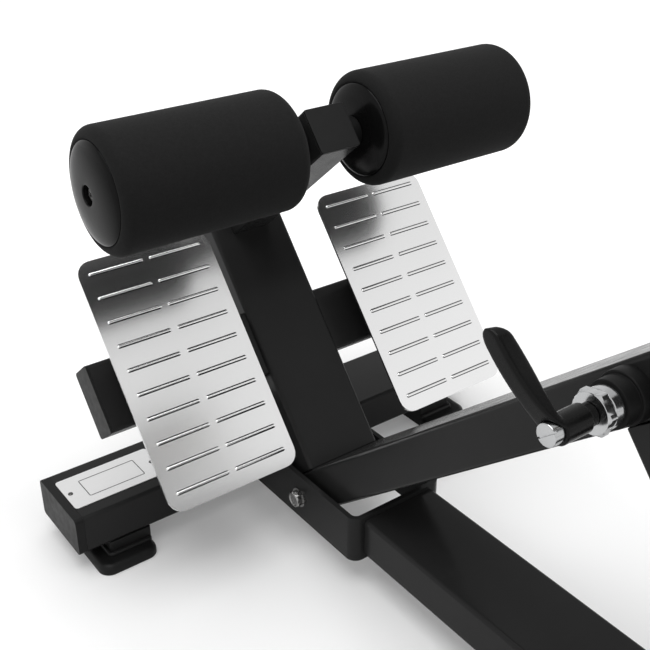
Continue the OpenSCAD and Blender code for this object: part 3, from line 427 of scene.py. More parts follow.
def print_ink():
    paint = Paint("dark_print", grey(0.03), roughness=0.5)
    return paint.vary_colour(paint.noise(scale=300, detail=2), spread=0.2).material


MATERIALS = {
    "frame_paint": powder_coat("satin_powder_coat", 0.018, 0.22),
    # A darker, duller copy of the frame's coat: painted shade for the clamp boss and the axle collars
    "matte_painted_shade_coat": powder_coat("matte_painted_shade_coat", 0.006, 0.5),
    "end_plug": plug_plastic(),
    "foot_rubber": foot_rubber(),
    "zinc_steel": zinc_steel("bright_zinc_steel", 0.3),
    # Darker zinc for the name plate's rivets
    "dark_zinc_steel": zinc_steel("dark_zinc_steel", 0.1),
    "name_plate_aluminium": satin_aluminium(),
    "axle_chrome": axle_chrome(),
    "roller_foam": roller_foam(),
    "roller_cap": roller_cap_gloss(),
    "plate_stainless": brushed_stainless(),
    "lever_black": lever_cast(),
    "grip_rubber": grip_rubber(),
    "pad_plywood": plywood(),
    "pad_vinyl": pad_vinyl(),
}


# CAD nodes: each gets its material; those of slots with an edge width also get small worn edges, the rest crisp
# shading by angle

EDGE_WIDTH = {"frame_paint": 0.9 * MM, "end_plug": 0.9 * MM, "name_plate_aluminium": 0.15 * MM,
              "axle_chrome": 0.5 * MM, "plate_stainless": 0.4 * MM, "pad_plywood": 1.0 * MM}
EDGE_SEGMENTS = 2
EDGE_ANGLE = 32
WELD_DISTANCE = 2e-6
FLAT_ANGLE = 0.5
FACE_WEIGHT = 80

# Nodes that are darker than the rest of their slot: the axle collars get painted shade, the name plate's rivets a
# darker steel
SHADED_OR_DARKER = {"axle_collars": "matte_painted_shade_coat", "name_plate_rivets": "dark_zinc_steel"}


def soften_edges(piece, width):
    """Joins the split corners of a CAD mesh, merges its flat faces and rounds its edges a little."""
    weld = piece.modifiers.new("weld", "WELD")
    weld.merge_threshold = WELD_DISTANCE
    flat = piece.modifiers.new("merge_flat", "DECIMATE")
    flat.decimate_type = "DISSOLVE"
    flat.angle_limit = math.radians(FLAT_ANGLE)
    bevel = piece.modifiers.new("edges", "BEVEL")
    bevel.width = width
    bevel.segments = EDGE_SEGMENTS
    bevel.limit_method = "ANGLE"
    bevel.angle_limit = math.radians(EDGE_ANGLE)
    normals = piece.modifiers.new("normals", "WEIGHTED_NORMAL")
    normals.weight = FACE_WEIGHT


for name, piece in NODES.items():
    slot = SLOT_OF[name]
    material = MATERIALS[SHADED_OR_DARKER.get(name, slot)]
    if piece.material_slots:
        piece.material_slots[0].material = material
    else:
        piece.data.materials.append(material)
    shade_smooth(piece)
    if slot in EDGE_WIDTH:
        soften_edges(piece, EDGE_WIDTH[slot])
    else:
        shade_by_angle(piece, CAD_CREASE)


# Ankle rollers: foam with rounded shoulders, and a domed cap at each end

SHOULDER = 12 * MM
SHOULDER_STEPS = 14

# Each shoulder's arc stops this many degrees short of the end face
SHOULDER_END = 8
FOAM_STEPS = 24
FOAM_TURNS = 160
CAP_SEAT = 2 * MM
CAP_GROOVE = 0.8 * MM
CAP_HEIGHT = 9.4 * MM
CAP_BULGE = 0.54
CAP_EDGE = 1 * MM
CAP_LIP = 1.2 * MM
CAP_WELL = 7 * MM
CAP_BACK = 2 * MM
DOME_STEPS = 40
CAP_TURNS = 144

# Radius of a cap's hole in the dome, and of its bore behind the dome
CAP_HOLE_R = {"outer": (10 * MM, 6 * MM), "inner": (13 * MM, 13 * MM)}


def radius_of(node):
    low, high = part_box(node)
    return (high.z - low.z) / 2


def roller_frame(side):
    """Centre of a roller's axis on the centre plane, and the direction outwards."""
    spot = Vector(JOINTS[f"{side}_roller_spin"]["pos_m"])
    return Vector((0, spot.y, spot.z)), ACROSS if side == "right" else -ACROSS


def build_foam(side):
    centre, out = roller_frame(side)
    foam = f"{side}_roller_foam"
    inner, outer = span(foam, out)
    radius = radius_of(foam)
    seat = radius_of(f"{side}_roller_outer_cap") + CAP_GROOVE / 2
    core = radius_of(f"{side}_roller_core")
    start, end, lip = inner + SHOULDER, outer - SHOULDER, radius - SHOULDER
    profile = [(inner + CAP_SEAT, core), (inner + CAP_SEAT, seat), (inner + CAP_GROOVE, seat)]
    profile += arc(start, lip, SHOULDER, 180 - SHOULDER_END, 90, SHOULDER_STEPS)
    profile += [(start + (end - start) * k / FOAM_STEPS, radius) for k in range(1, FOAM_STEPS)]
    profile += arc(end, lip, SHOULDER, 90, SHOULDER_END, SHOULDER_STEPS)
    profile += [(outer - CAP_GROOVE, seat), (outer - CAP_SEAT, seat), (outer - CAP_SEAT, core)]
    piece = lathe(f"{side}_foam_roller", profile, centre, out, FOAM_TURNS)
    shade_by_angle(piece, LATHE_CREASE)
    dress(piece, f"{side}_roller", MATERIALS["roller_foam"], "roller_foam", foam)


def build_cap(side, end):
    """A cap that sits in the foam's end: a smooth dome and a round hole with a soft edge."""
    centre, out = roller_frame(side)
    node = f"{side}_roller_{end}_cap"
    away = out if end == "outer" else -out
    inside, apex = span(node, away)
    radius = radius_of(node)
    hole, bore = CAP_HOLE_R[end]
    crest = hole + CAP_LIP
    seat = apex - CAP_HEIGHT
    foot = seat + CAP_EDGE
    profile = [(seat, radius - CAP_EDGE)]
    for k in range(DOME_STEPS + 1):
        share = math.cos(math.pi / 2 * k / DOME_STEPS)
        rise = (apex - foot) * (1 - share ** 2) ** CAP_BULGE
        profile.append((foot + rise, crest + (radius - crest) * share))
    profile += arc(apex - CAP_LIP, crest, CAP_LIP, 0, -90, EDGE_STEPS)[1:]
    profile += [(apex - CAP_WELL, hole), (apex - CAP_WELL, bore), (inside + CAP_BACK, bore),
                (seat, radius / 2)]
    piece = lathe(f"{side}_{end}_roller_cap", profile, centre, away, CAP_TURNS)
    shade_by_angle(piece, LATHE_CREASE)
    dress(piece, f"{side}_roller", MATERIALS["roller_cap"], "roller_cap", node)


for side in ("right", "left"):
    build_foam(side)
    for end in ("inner", "outer"):
        build_cap(side, end)


# Rubber feet: a floor pad with rounded edges, a low step and the block under the tube

FOOT_T = 13 * MM
FOOT_CORNER_R = 15 * MM
FOOT_ROUND = 7 * MM
STEP_HALF = (28.5 * MM, 55 * MM)
STEP_MIDDLE = 29.5 * MM
STEP_CORNER_R = 6 * MM
STEP_SEAT = 4 * MM
STEP_TOP = 17.5 * MM
STEP_ROUND = 3 * MM
BLOCK_HALF = (26.5 * MM, 50 * MM)
BLOCK_MIDDLE = 27 * MM
BLOCK_CORNER_R = 3 * MM
BLOCK_SEAT = 5 * MM
BLOCK_ROUND = 1 * MM
BROKEN_EDGE = 0.8 * MM
LEAST_CORNER_R = 0.3 * MM
CORNER_STEPS = 10
ROUND_STEPS = 8
FOOT_SCREW_GAP = 25 * MM
HOLE_START = -1 * MM
HOLE_TURNS = 48
HEAD_ROOM = 9.2 * MM
HEAD_ROOM_R = 8.3 * MM
SHANK_ROOM = 31 * MM
SHANK_ROOM_R = 4.3 * MM


def rounded_outline(centre, half, radius, inset, steps):
    """Points round a rectangle with rounded corners, drawn in by the inset."""
    radius = max(radius - inset, LEAST_CORNER_R)
    reach_x, reach_y = (half[i] - inset - radius for i in (0, 1))
    points = []
    for corner, (sx, sy) in enumerate(((1, 1), (-1, 1), (-1, -1), (1, -1))):
        for k in range(steps + 1):
            angle = math.pi / 2 * (corner + k / steps)
            points.append((centre.x + sx * reach_x + radius * math.cos(angle),
                           centre.y + sy * reach_y + radius * math.sin(angle)))
    return points


def rounded_slab(name, centre, half, radius, low, high, round_r):
    """A block with rounded corners whose top edge is rounded and whose lower edge is broken."""
    rows = [(low, BROKEN_EDGE), (low + BROKEN_EDGE, 0)]
    for k in range(ROUND_STEPS + 1):
        turn = math.pi / 2 * k / ROUND_STEPS
        rows.append((high - round_r + round_r * math.sin(turn), round_r * (1 - math.cos(turn))))
    rings = [[Vector((x, y, z)) for x, y in rounded_outline(centre, half, radius, inset, CORNER_STEPS)]
             for z, inset in rows]
    return add_mesh(name, [p for ring in rings for p in ring], ring_faces(len(rings), len(rings[0])))


def build_foot(node):
    low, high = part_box(node)
    out, inner = (1, low.x) if low.x > 0 else (-1, high.x)
    centre = (low + high) / 2
    step = Vector((inner + out * STEP_MIDDLE, centre.y, 0))
    block = Vector((inner + out * BLOCK_MIDDLE, centre.y, 0))
    pad = rounded_slab(f"{node}_pad", centre, (high - low) / 2, FOOT_CORNER_R,
                       low.z, low.z + FOOT_T, FOOT_ROUND)
    boolean(pad, rounded_slab("step", step, STEP_HALF, STEP_CORNER_R,
                              low.z + STEP_SEAT, low.z + STEP_TOP, STEP_ROUND), "UNION")
    boolean(pad, rounded_slab("block", block, BLOCK_HALF, BLOCK_CORNER_R,
                              low.z + BLOCK_SEAT, high.z, BLOCK_ROUND), "UNION")
    profile = [(HOLE_START, 0), (HOLE_START, HEAD_ROOM_R), (HEAD_ROOM, HEAD_ROOM_R),
               (HEAD_ROOM, SHANK_ROOM_R), (SHANK_ROOM, SHANK_ROOM_R), (SHANK_ROOM, 0)]
    for way in (-1, 1):
        spot = Vector((block.x, centre.y + way * FOOT_SCREW_GAP, low.z))
        boolean(pad, lathe("hole", profile, spot, Vector((0, 0, 1)), HOLE_TURNS), "DIFFERENCE")
    shade_by_angle(pad, FOOT_CREASE)
    dress(pad, "frame", MATERIALS["foot_rubber"], "foot_rubber", node)


for end in ("rear", "front"):
    for side in ("right", "left"):
        build_foot(f"{end}_{side}_foot")


# Foot bolt: a chamfered hexagon head with a dished face

FOOT_BOLT_R = 6 * MM
FOOT_BOLT_POINT = 1 * MM
FOOT_BOLT_FLATS = 18.6 * MM
FOOT_BOLT_HEAD = 7.8 * MM
HEAD_CORNER_CUT = 0.4 * MM
HEAD_CHAMFER = 1.6 * MM
HEAD_CROWN = 0.5 * MM
CROWN_INSET = 0.2 * MM
FACE_INSET = 0.9 * MM
DISH_RIM = 2.4 * MM
DISH_SLOPE = 0.4 * MM
DISH_DEPTH = 0.9 * MM


def build_foot_bolt():
    low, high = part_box("foot_sleeve")
    centre = Vector((0, (low.y + high.y) / 2, (low.z + high.z) / 2))
    start, end = span("foot_bolt", ACROSS)
    seat = end - FOOT_BOLT_HEAD
    flat = FOOT_BOLT_FLATS / 2
    corner = FOOT_BOLT_FLATS / math.sqrt(3) - HEAD_CORNER_CUT
    dish = flat - DISH_RIM
    profile = [(start, FOOT_BOLT_R - FOOT_BOLT_POINT, False),
               (start + FOOT_BOLT_POINT, FOOT_BOLT_R, False), (seat, FOOT_BOLT_R, False),
               (seat, corner, True), (end - HEAD_CHAMFER, corner, True),
               (end - HEAD_CROWN, flat - CROWN_INSET, True), (end, flat - FACE_INSET, True),
               (end, dish + DISH_SLOPE, False), (end - DISH_DEPTH, dish - DISH_SLOPE, False)]
    piece = turn_hexagon("hexagon_foot_bolt", profile, FOOT_BOLT_FLATS, ALONG, centre, ACROSS,
                         closed=False)
    shade_by_angle(piece, HEX_CREASE)
    dress(piece, "frame", MATERIALS["zinc_steel"], "zinc_steel", "foot_bolt")


build_foot_bolt()


# Clamp: black boss with a barrel, chromed nut, slotted lever screw

CLAMP_TURNS = 96
BOSS_R = 22.5 * MM
BOSS_FLANGE = 14 * MM
BOSS_ROUND = 1.5 * MM
BOSS_BORE_R = 13 * MM
BARREL_R = 20 * MM
BARREL_FILLET = 0.4 * MM
BARREL_ROUND = 1 * MM
COLLAR_R = 17 * MM
COLLAR_LENGTH = 10 * MM
COLLAR_EDGE = 0.6 * MM
HEX_FLATS = 34 * MM
HEX_LENGTH = 9 * MM
HEX_CORNER_CUT = 0.3 * MM
HEX_BACK = 1.2 * MM
HEX_CHAMFER = 1.6 * MM
HEX_CROWN = 0.3 * MM
HEX_CROWN_RISE = 0.1 * MM
HEX_FACE_INSET = 0.4 * MM
NUT_PLAY = 0.05 * MM
NUT_BORE_R = 10.05 * MM
NUT_SHOULDER = 3.2 * MM
STUD_BORE_R = 6.05 * MM
STUD_BORE_EDGE = 0.4 * MM
SCREW_HEAD = 10 * MM
SCREW_HEAD_R = 9.5 * MM
SCREW_SHANK_R = 3.8 * MM
SCREW_EDGE = 0.4 * MM
SCREW_ROUND = 1.2 * MM
SLOT_DEPTH = 2.5 * MM
SLOT_HALF_WIDTH = 0.8 * MM
SLOT_HALF_LENGTH = 12 * MM


def clamp_axis():
    spot = Vector(JOINTS["lever_turn"]["pos_m"])
    return Vector((0, spot.y, spot.z))


def build_clamp_boss():
    start, end = span("clamp_boss", ACROSS)
    step = start + BOSS_FLANGE
    profile = [(start, BOSS_BORE_R), (start, BOSS_R)]
    profile += rounded_end(step, BOSS_R, BOSS_ROUND, EDGE_STEPS)
    profile += [(step, BARREL_R + BARREL_FILLET), (step + BARREL_FILLET, BARREL_R)]
    profile += rounded_end(end, BARREL_R, BARREL_ROUND, EDGE_STEPS)
    profile += [(end, BOSS_BORE_R)]
    piece = lathe("clamp_boss_and_barrel", profile, clamp_axis(), ACROSS, CLAMP_TURNS)
    shade_by_angle(piece, LATHE_CREASE)
    # Painted shade: the boss and barrel take the darker copy of the frame's coat
    dress(piece, "frame", MATERIALS["matte_painted_shade_coat"], "frame_paint", "clamp_boss")


def build_clamp_nut():
    start, end = span("clamp_nut", ACROSS)
    collar_in = span("clamp_boss", ACROSS)[1]
    collar_out = collar_in + COLLAR_LENGTH
    neck, rim = BOSS_BORE_R - NUT_PLAY, COLLAR_R - COLLAR_EDGE
    flat = HEX_FLATS / 2
    corner = HEX_FLATS / math.sqrt(3) - HEX_CORNER_CUT
    profile = [(start, NUT_BORE_R, False), (start, neck, False), (collar_in, neck, False),
               (collar_in, rim, False), (collar_in + COLLAR_EDGE, COLLAR_R, False),
               (collar_out - COLLAR_EDGE, COLLAR_R, False), (collar_out, rim, False),
               (end - HEX_LENGTH, rim, False), (end - HEX_LENGTH + HEX_BACK, corner, True),
               (end - HEX_CHAMFER, corner, True), (end - HEX_CROWN, flat + HEX_CROWN_RISE, True),
               (end, flat - HEX_FACE_INSET, True), (end, STUD_BORE_R + STUD_BORE_EDGE, False),
               (end - STUD_BORE_EDGE, STUD_BORE_R, False), (end - NUT_SHOULDER, STUD_BORE_R, False),
               (end - NUT_SHOULDER, NUT_BORE_R, False)]
    piece = turn_hexagon("chromed_clamp_nut", profile, HEX_FLATS, ABOVE, clamp_axis(), ACROSS)
    shade_by_angle(piece, HEX_CREASE)
    dress(piece, "frame", MATERIALS["axle_chrome"], "axle_chrome", "clamp_nut")


def build_lever_screw():
    start, end = span("lever_screw", ACROSS)
    seat = end - SCREW_HEAD
    profile = [(start, 0), (start, SCREW_SHANK_R), (seat, SCREW_SHANK_R),
               (seat, SCREW_HEAD_R - SCREW_EDGE), (seat + SCREW_EDGE, SCREW_HEAD_R)]
    profile += rounded_end(end, SCREW_HEAD_R, SCREW_ROUND, steps=6)
    profile += [(end, 0)]
    piece = lathe("slotted_lever_screw", profile, clamp_axis(), ACROSS, CLAMP_TURNS)
    corners = []
    for way in (-1, 1):
        middle = clamp_axis() + ACROSS * (end + way * SLOT_DEPTH)
        corners += [middle + ALONG * a * SLOT_HALF_LENGTH + ABOVE * b * SLOT_HALF_WIDTH
                    for a, b in ((-1, -1), (1, -1), (1, 1), (-1, 1))]
    boolean(piece, add_mesh("slot", corners, ring_faces(2, 4)), "DIFFERENCE")
    shade_by_angle(piece, HEX_CREASE)
    dress(piece, "clamp_lever", MATERIALS["axle_chrome"], "axle_chrome", "lever_screw")


# Clamp lever: a cranked cast arm on a round hub

LEVER_LENGTH = 86 * MM
LEVER_WIDTH = 17 * MM
LEVER_DEPTH = 17 * MM
LEVER_CRANK = 22 * MM
LEVER_BEND = 0.75
LEVER_SQUARENESS = 7
LEVER_STEPS = 44
LEVER_POINTS = 40

# Shares of the arm's reach where its wide root ends and its round tip starts
ROOT_END = 0.3
TIP_START = 0.86
LEAST_TIP = 0.0004

# The arm's depth follows a sine, from the first share of a half turn on by the second
DEPTH_PHASE = (0.1, 0.62)

HUB_R = 12 * MM
HUB_LENGTH = 28.5 * MM
HUB_BORE_R = 5 * MM
HUB_ROUND = 1.5 * MM
HUB_TURNS = 64
NECK_LENGTH = 7.5 * MM
NECK_STEP = 2.5 * MM
SCREW_ROOM_R = 9.8 * MM
SCREW_ROOM_END = 10 * MM
LEVER_VOXEL = 0.7 * MM


def lever_ring(t):
    """One section of the arm, at a share t of its reach, as offsets outwards and along the beam."""
    tip = math.sqrt(max(1 - (max(0, t - TIP_START) / (1 - TIP_START)) ** 2, LEAST_TIP))
    lean = LEVER_CRANK * math.sin(math.pi / 2 * t ** LEVER_BEND)
    deep = LEVER_DEPTH * math.sin(math.pi * (DEPTH_PHASE[0] + DEPTH_PHASE[1] * t)) * tip
    root = max(0, 1 - t / ROOT_END) ** 2
    half = (LEVER_WIDTH / 2 + (HUB_R - LEVER_WIDTH / 2) * root) * tip
    ring = []
    for i in range(LEVER_POINTS):
        angle = 2 * math.pi * i / LEVER_POINTS
        c, s = math.cos(angle), math.sin(angle)
        reach = (abs(c) ** LEVER_SQUARENESS + abs(s) ** LEVER_SQUARENESS) ** (-1 / LEVER_SQUARENESS)
        ring.append((lean - deep / 2 + deep / 2 * reach * c, half * reach * s))
    return ring


def build_lever():
    hub_out = span("lever_screw", ACROSS)[1] - SCREW_HEAD
    hub_in = hub_out - HUB_LENGTH
    neck_r = HUB_R - NECK_STEP
    room_out = hub_out + LEVER_CRANK + SCREW_ROOM_END
    pivot = clamp_axis()
    rings = [(LEVER_LENGTH * k / LEVER_STEPS, lever_ring(k / LEVER_STEPS))
             for k in range(LEVER_STEPS + 1)]
    vertices = [pivot + ACROSS * (hub_out + out) + ALONG * wide + ABOVE * up
                for up, ring in rings for out, wide in ring]
    arm = add_mesh("clamp_lever_arm", vertices, ring_faces(len(rings), LEVER_POINTS))
    profile = [(hub_in - NECK_LENGTH, HUB_BORE_R), (hub_in - NECK_LENGTH, neck_r), (hub_in, neck_r),
               (hub_in, HUB_R - HUB_ROUND)]
    profile += arc(hub_in + HUB_ROUND, HUB_R - HUB_ROUND, HUB_ROUND, 180, 90, steps=4)
    profile += [(hub_out - HUB_ROUND / 2, HUB_R), (hub_out, HUB_R - HUB_ROUND / 2),
                (hub_out, HUB_BORE_R)]
    boolean(arm, lathe("clamp_lever_hub", profile, pivot, ACROSS, HUB_TURNS), "UNION")
    profile = [(hub_out, 0), (hub_out, SCREW_ROOM_R), (room_out, SCREW_ROOM_R), (room_out, 0)]
    boolean(arm, lathe("screw_room", profile, pivot, ACROSS, HUB_TURNS), "DIFFERENCE")
    add_remesh(arm, LEVER_VOXEL)
    add_smooth(arm, rounds=4)
    apply_modifiers(arm)
    shade_smooth(arm)
    arm.name = "cranked_clamp_lever"
    dress(arm, "clamp_lever", MATERIALS["lever_black"], "lever_black", "clamp_lever")


build_clamp_boss()
build_clamp_nut()
build_lever_screw()
build_lever()


# Handle grips: rubber sleeves with moulded ribs

GRIP_PITCH = 4.5 * MM
GRIP_GROOVE = 0.9 * MM
GRIP_PLAIN = 8 * MM
GRIP_ROUND = 3 * MM
GRIP_TURNS = 72
RIB_STEPS = 8

# Chamfer at the grip's lower end, along it and across it
GRIP_EDGE = (0.6 * MM, 1 * MM)

# Hair-thin bore: how far it stops short of the upper end, and its radius at the lower end
GRIP_CORE = (2 * MM, 0.1 * MM)


def build_grip(side):
    out = ACROSS if side == "right" else -ACROSS
    own = [v.co for v in NODES["handle_grips"].data.vertices if v.co.dot(out) > 0]
    (low, high), (near, far), (bottom, top) = (
        (min(places), max(places)) for places in ([p.dot(d) for p in own] for d in (ALONG, out, ABOVE)))
    radius = (far - near) / 2
    centre = out * (far + near) / 2 + ABOVE * (top + bottom) / 2
    profile = [(high - GRIP_CORE[0], 0), (low, GRIP_CORE[1]), (low, radius - GRIP_EDGE[1]),
               (low + GRIP_EDGE[0], radius)]
    ribs = int((high - low - 2 * GRIP_PLAIN) / GRIP_PITCH)
    for k in range(ribs * RIB_STEPS + 1):
        swing = (1 - math.cos(2 * math.pi * k / RIB_STEPS)) / 2
        place = low + GRIP_PLAIN + GRIP_PITCH * k / RIB_STEPS
        profile.append((place, radius - GRIP_GROOVE * swing ** 2))
    profile += rounded_end(high, radius, GRIP_ROUND, steps=6)
    profile += [(high, 0)]
    piece = lathe(f"{side}_ribbed_grip", profile, centre, ALONG, GRIP_TURNS)
    dress(piece, "pad_carriage", MATERIALS["grip_rubber"], "grip_rubber", "handle_grips")


for side in ("right", "left"):
    build_grip(side)


# Thigh pads: foam under stretched vinyl, blown up as cloth and then piped along the seam

PAD_AXES = (ACROSS, ALONG, ABOVE)
PAD_VOXEL = 5 * MM
PAD_SHRINK = 2 * MM
PAD_PRESSURE = 1.2
PAD_CAP = 3 * MM
PAD_HELD = 2 * MM
PAD_FLOOR = 0.2 * MM
CLOTH_QUALITY = 6
CLOTH_FRAMES = 20
LEAST_MOVE = 1e-9
SEAM_SHARE = 0.5
SEAM_SEARCH = 0.3
PIPING_R = 2.2 * MM
PIPING_SINK = 0.4 * MM
PIPING_TURNS = 160
PIPING_SIDES = 10


def pad_places(piece, centre):
    """A piece's points as (across, along, above) from the pad's centre."""
    return np.array([[(v.co - centre).dot(d) for d in PAD_AXES] for v in piece.data.vertices])


def blow_up(piece, centre):
    """Runs the cloth with pressure from inside; the face on the board stays where it is."""
    heights = pad_places(piece, centre)[:, 2]
    held = piece.vertex_groups.new(name="held")
    held.add(np.flatnonzero(heights < heights.min() + PAD_HELD).tolist(), 1.0, "REPLACE")
    cloth = piece.modifiers.new("cloth", "CLOTH")
    cloth.settings.vertex_group_mass = "held"
    cloth.settings.use_pressure = True
    cloth.settings.uniform_pressure_force = PAD_PRESSURE
    cloth.settings.effector_weights.gravity = 0
    cloth.settings.quality = CLOTH_QUALITY
    cloth.collision_settings.use_self_collision = False
    scene = bpy.context.scene
    for number in range(1, CLOTH_FRAMES + 1):
        scene.frame_set(number)
    graph = bpy.context.evaluated_depsgraph_get()
    blown = piece.evaluated_get(graph).to_mesh()
    moved = np.array([v.co for v in blown.vertices]) - np.array([v.co for v in piece.data.vertices])
    piece.evaluated_get(graph).to_mesh_clear()
    size = np.linalg.norm(moved, axis=1, keepdims=True)
    moved *= np.minimum(1, PAD_CAP / np.maximum(size, LEAST_MOVE))
    piece.modifiers.clear()
    piece.vertex_groups.clear()
    for vertex, step in zip(piece.data.vertices, moved):
        vertex.co += Vector(step)
    scene.frame_set(1)


def shrink_pad(piece, centre, spans):
    """Draws the pad in on all sides but its underside, to leave room for the cloth."""
    shrink = [1 - 2 * PAD_SHRINK / (high - low) for low, high in spans]
    floor = spans[2][0] - centre.dot(ABOVE)
    for vertex, (x, b, n) in zip(piece.data.vertices, pad_places(piece, centre)):
        n = floor + (n - floor) * shrink[2]
        vertex.co = centre + ACROSS * x * shrink[0] + ALONG * b * shrink[1] + ABOVE * n


def clip_pad(piece, centre, spans):
    """Keeps the pad's underside flat on its board."""
    floor = spans[2][0] - centre.dot(ABOVE) + PAD_FLOOR
    for vertex, (_, _, n) in zip(piece.data.vertices, pad_places(piece, centre)):
        if n < floor:
            vertex.co += ABOVE * (floor - n)


def build_pad(side):
    node = f"{side}_pad"
    piece = bpy.data.objects.new(f"{side}_thigh_pad", NODES[node].data.copy())
    bpy.context.scene.collection.objects.link(piece)
    spans = [span(node, d) for d in PAD_AXES]
    centre = sum(((low + high) / 2 * d for (low, high), d in zip(spans, PAD_AXES)), Vector())
    shrink_pad(piece, centre, spans)
    add_remesh(piece, PAD_VOXEL)
    apply_modifiers(piece)
    blow_up(piece, centre)
    add_smooth(piece, rounds=3)
    finer = piece.modifiers.new("finer", "SUBSURF")
    finer.levels = finer.render_levels = 1
    apply_modifiers(piece)
    clip_pad(piece, centre, spans)
    shade_smooth(piece)
    dress(piece, "pad_carriage", MATERIALS["pad_vinyl"], "pad_vinyl", node)
    build_piping(side, piece, centre, spans)


def build_piping(side, pad, centre, spans):
    """A round welt along the pad's side, laid on the blown surface."""
    tree = BVHTree.FromObject(pad, bpy.context.evaluated_depsgraph_get())
    low, high = spans[2]
    height = low + (high - low) * SEAM_SHARE - centre.dot(ABOVE)
    loop = []
    for i in range(PIPING_TURNS):
        angle = 2 * math.pi * i / PIPING_TURNS
        out = ACROSS * math.cos(angle) + ALONG * math.sin(angle)
        hit = tree.ray_cast(centre + ABOVE * height + out * SEAM_SEARCH, -out)[0]
        loop.append(hit - out * PIPING_SINK)
    vertices = []
    for i, spot in enumerate(loop):
        run = (loop[(i + 1) % PIPING_TURNS] - loop[i - 1]).normalized()
        out = run.cross(ABOVE)
        for k in range(PIPING_SIDES):
            angle = 2 * math.pi * k / PIPING_SIDES
            vertices.append(spot + (out * math.cos(angle) + ABOVE * math.sin(angle)) * PIPING_R)
    faces = ring_faces(PIPING_TURNS, PIPING_SIDES, closed_rings=True)
    piece = add_mesh(f"{side}_pad_piping", vertices, faces)
    dress(piece, "pad_carriage", MATERIALS["pad_vinyl"], "pad_vinyl")


for side in ("right", "left"):
    build_pad(side)


# Name plate: a bare plate with a plain printed border

BORDER_INSET = (24 * MM, 13 * MM)
BORDER_LINE = 0.9 * MM
BORDER_T = 0.15 * MM
BORDER_SINK = 0.05 * MM
BORDER_CORNER_R = 2 * MM


def build_border():
    low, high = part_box("name_plate")
    centre = (low + high) / 2
    half = [(high[i] - low[i]) / 2 - BORDER_INSET[i] for i in (0, 1)]
    outer, inner = (rounded_outline(centre, half, BORDER_CORNER_R, inset, steps=6)
                    for inset in (0, BORDER_LINE))
    bottom, top = high.z - BORDER_SINK, high.z + BORDER_T
    rows = ((outer, bottom), (outer, top), (inner, top), (inner, bottom))
    vertices = [Vector((x, y, z)) for row, z in rows for x, y in row]
    faces = ring_faces(len(rows), len(outer), closed_rings=True)
    piece = add_mesh("name_plate_border", vertices, faces, smooth=False)
    dress(piece, "frame", print_ink(), "name_plate_aluminium")


build_border()


# Stage, light and camera

CAMERA_PLACE = (0.6286, 0.4805, 0.8432)
CAMERA_AZIMUTH = 143.39
CAMERA_ELEVATION = 28.89
CAMERA_LENS = 57.77
CAMERA_SENSOR = 36
FLOOR_SIZE = 14.0
FLOOR_LEVEL = 0.8
# Painted light on the floor: its glow near the object and far from it, the distance over which it grows, and the
# share seen in reflections
FLOOR_LIFT_NEAR = 0.15
FLOOR_LIFT_FAR = 0.5
FLOOR_LIFT_SPAN = 0.6
MIRRORED_LIFT = 0.5
WORLD_LEVEL = 0.8
ZENITH_LEVEL = 0.5
CEILING_START = 0.5
CEILING_END = 0.95
LAMP_PLACE = Vector((0.3, 0.0, 2.6))
LAMP_TARGET = Vector((0, 0, 0.3))
LAMP_SIZE = 2.2
LAMP_POWER = 50


def build_camera():
    data = bpy.data.cameras.new("camera")
    data.lens = CAMERA_LENS
    data.sensor_width = CAMERA_SENSOR
    data.sensor_fit = "HORIZONTAL"
    camera = bpy.data.objects.new("camera", data)
    bpy.context.scene.collection.objects.link(camera)
    azimuth, elevation = math.radians(CAMERA_AZIMUTH), math.radians(CAMERA_ELEVATION)
    back = Vector((math.sin(azimuth) * math.cos(elevation), -math.cos(azimuth) * math.cos(elevation),
                   math.sin(elevation)))
    camera.location = CAMERA_PLACE
    camera.rotation_euler = (-back).to_track_quat("-Z", "Y").to_euler()
    bpy.context.scene.camera = camera


def light_path(tree, *kinds):
    """1 for rays of any of these kinds, and 0 for the rest."""
    paths = tree.nodes.new("ShaderNodeLightPath")
    found = paths.outputs[kinds[0]]
    for kind in kinds[1:]:
        either = tree.nodes.new("ShaderNodeMath")
        either.operation = "MAXIMUM"
        tree.links.new(found, either.inputs[0])
        tree.links.new(paths.outputs[kind], either.inputs[1])
        found = either.outputs[0]
    return found


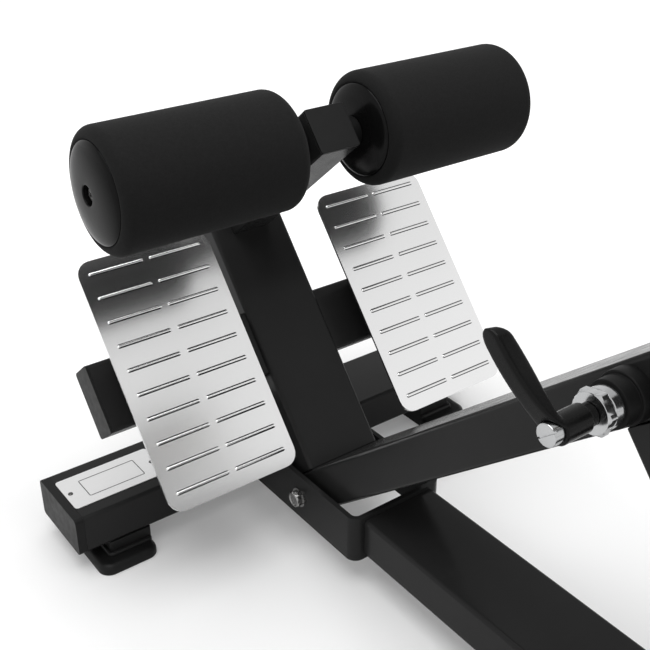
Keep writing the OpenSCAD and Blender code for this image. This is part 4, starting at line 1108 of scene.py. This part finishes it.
def build_floor():
    """A pale floor that takes the object's shadow and stays white away from it, by painted light: a glow that
    grows away from the object.
    """
    half = FLOOR_SIZE / 2
    corners = [Vector((x * half, y * half, 0)) for x, y in ((-1, -1), (1, -1), (1, 1), (-1, 1))]
    floor = add_mesh("floor", corners, [[0, 1, 2, 3]], smooth=False)
    paint = Paint("pale_floor", grey(FLOOR_LEVEL), roughness=0.9, specular=0.1)
    paint.vary_colour(paint.noise(scale=3, detail=2), spread=0.01)
    seen = light_path(paint.tree, "Is Camera Ray")
    mirrored = light_path(paint.tree, "Is Glossy Ray", "Is Transmission Ray")
    # Painted light: camera and mirror rays see the floor glow, faintly in the object's shadow and more strongly
    # away from it
    share = paint.maths("MULTIPLY_ADD", mirrored, MIRRORED_LIFT, seen)
    reach = [max(abs(corner[i]) for corner in CAD_BOX) for i in (0, 1)]
    side = paint.vector_maths("ABSOLUTE", "Vector", paint.place)
    past = paint.vector_maths("SUBTRACT", "Vector", side, (*reach, 0))
    outside = paint.vector_maths("MAXIMUM", "Vector", past, (0, 0, 0))
    away = paint.vector_maths("LENGTH", "Value", outside)
    level = paint.between(away, low=FLOOR_LIFT_NEAR, high=FLOOR_LIFT_FAR,
                          start=0, end=FLOOR_LIFT_SPAN)
    paint.shader.inputs["Emission Color"].default_value = (1, 1, 1, 1)
    paint.set("Emission Strength", paint.maths("MULTIPLY", share, level))
    floor.data.materials.append(paint.material)


def build_world():
    """A white studio whose ceiling is darker than its walls."""
    world = bpy.data.worlds.new("studio")
    bpy.context.scene.world = world
    world.use_nodes = True
    tree = world.node_tree
    background = tree.nodes["Background"]

    def ramp(source, start, end, low, high):
        made = tree.nodes.new("ShaderNodeMapRange")
        tree.links.new(source, made.inputs["Value"])
        for name, value in {"From Min": start, "From Max": end, "To Min": low, "To Max": high}.items():
            made.inputs[name].default_value = value
        return made.outputs["Result"]

    split = tree.nodes.new("ShaderNodeSeparateXYZ")
    tree.links.new(tree.nodes.new("ShaderNodeTexCoord").outputs["Generated"], split.inputs["Vector"])
    ceiling = ramp(split.outputs["Z"], CEILING_START, CEILING_END, 1.0, ZENITH_LEVEL)
    tree.links.new(ceiling, background.inputs["Color"])
    seen = light_path(tree, "Is Camera Ray", "Is Glossy Ray", "Is Transmission Ray")
    tree.links.new(ramp(seen, 0, 1, WORLD_LEVEL, 1.0), background.inputs["Strength"])


def build_lamp():
    data = bpy.data.lights.new("overhead", "AREA")
    data.shape = "RECTANGLE"
    data.size = data.size_y = LAMP_SIZE
    data.energy = LAMP_POWER
    lamp = bpy.data.objects.new("overhead", data)
    bpy.context.scene.collection.objects.link(lamp)
    lamp.location = LAMP_PLACE
    lamp.rotation_euler = (LAMP_TARGET - LAMP_PLACE).to_track_quat("-Z", "Y").to_euler()


build_camera()
build_floor()
build_world()
build_lamp()
bpy.context.scene.view_settings.view_transform = "Standard"
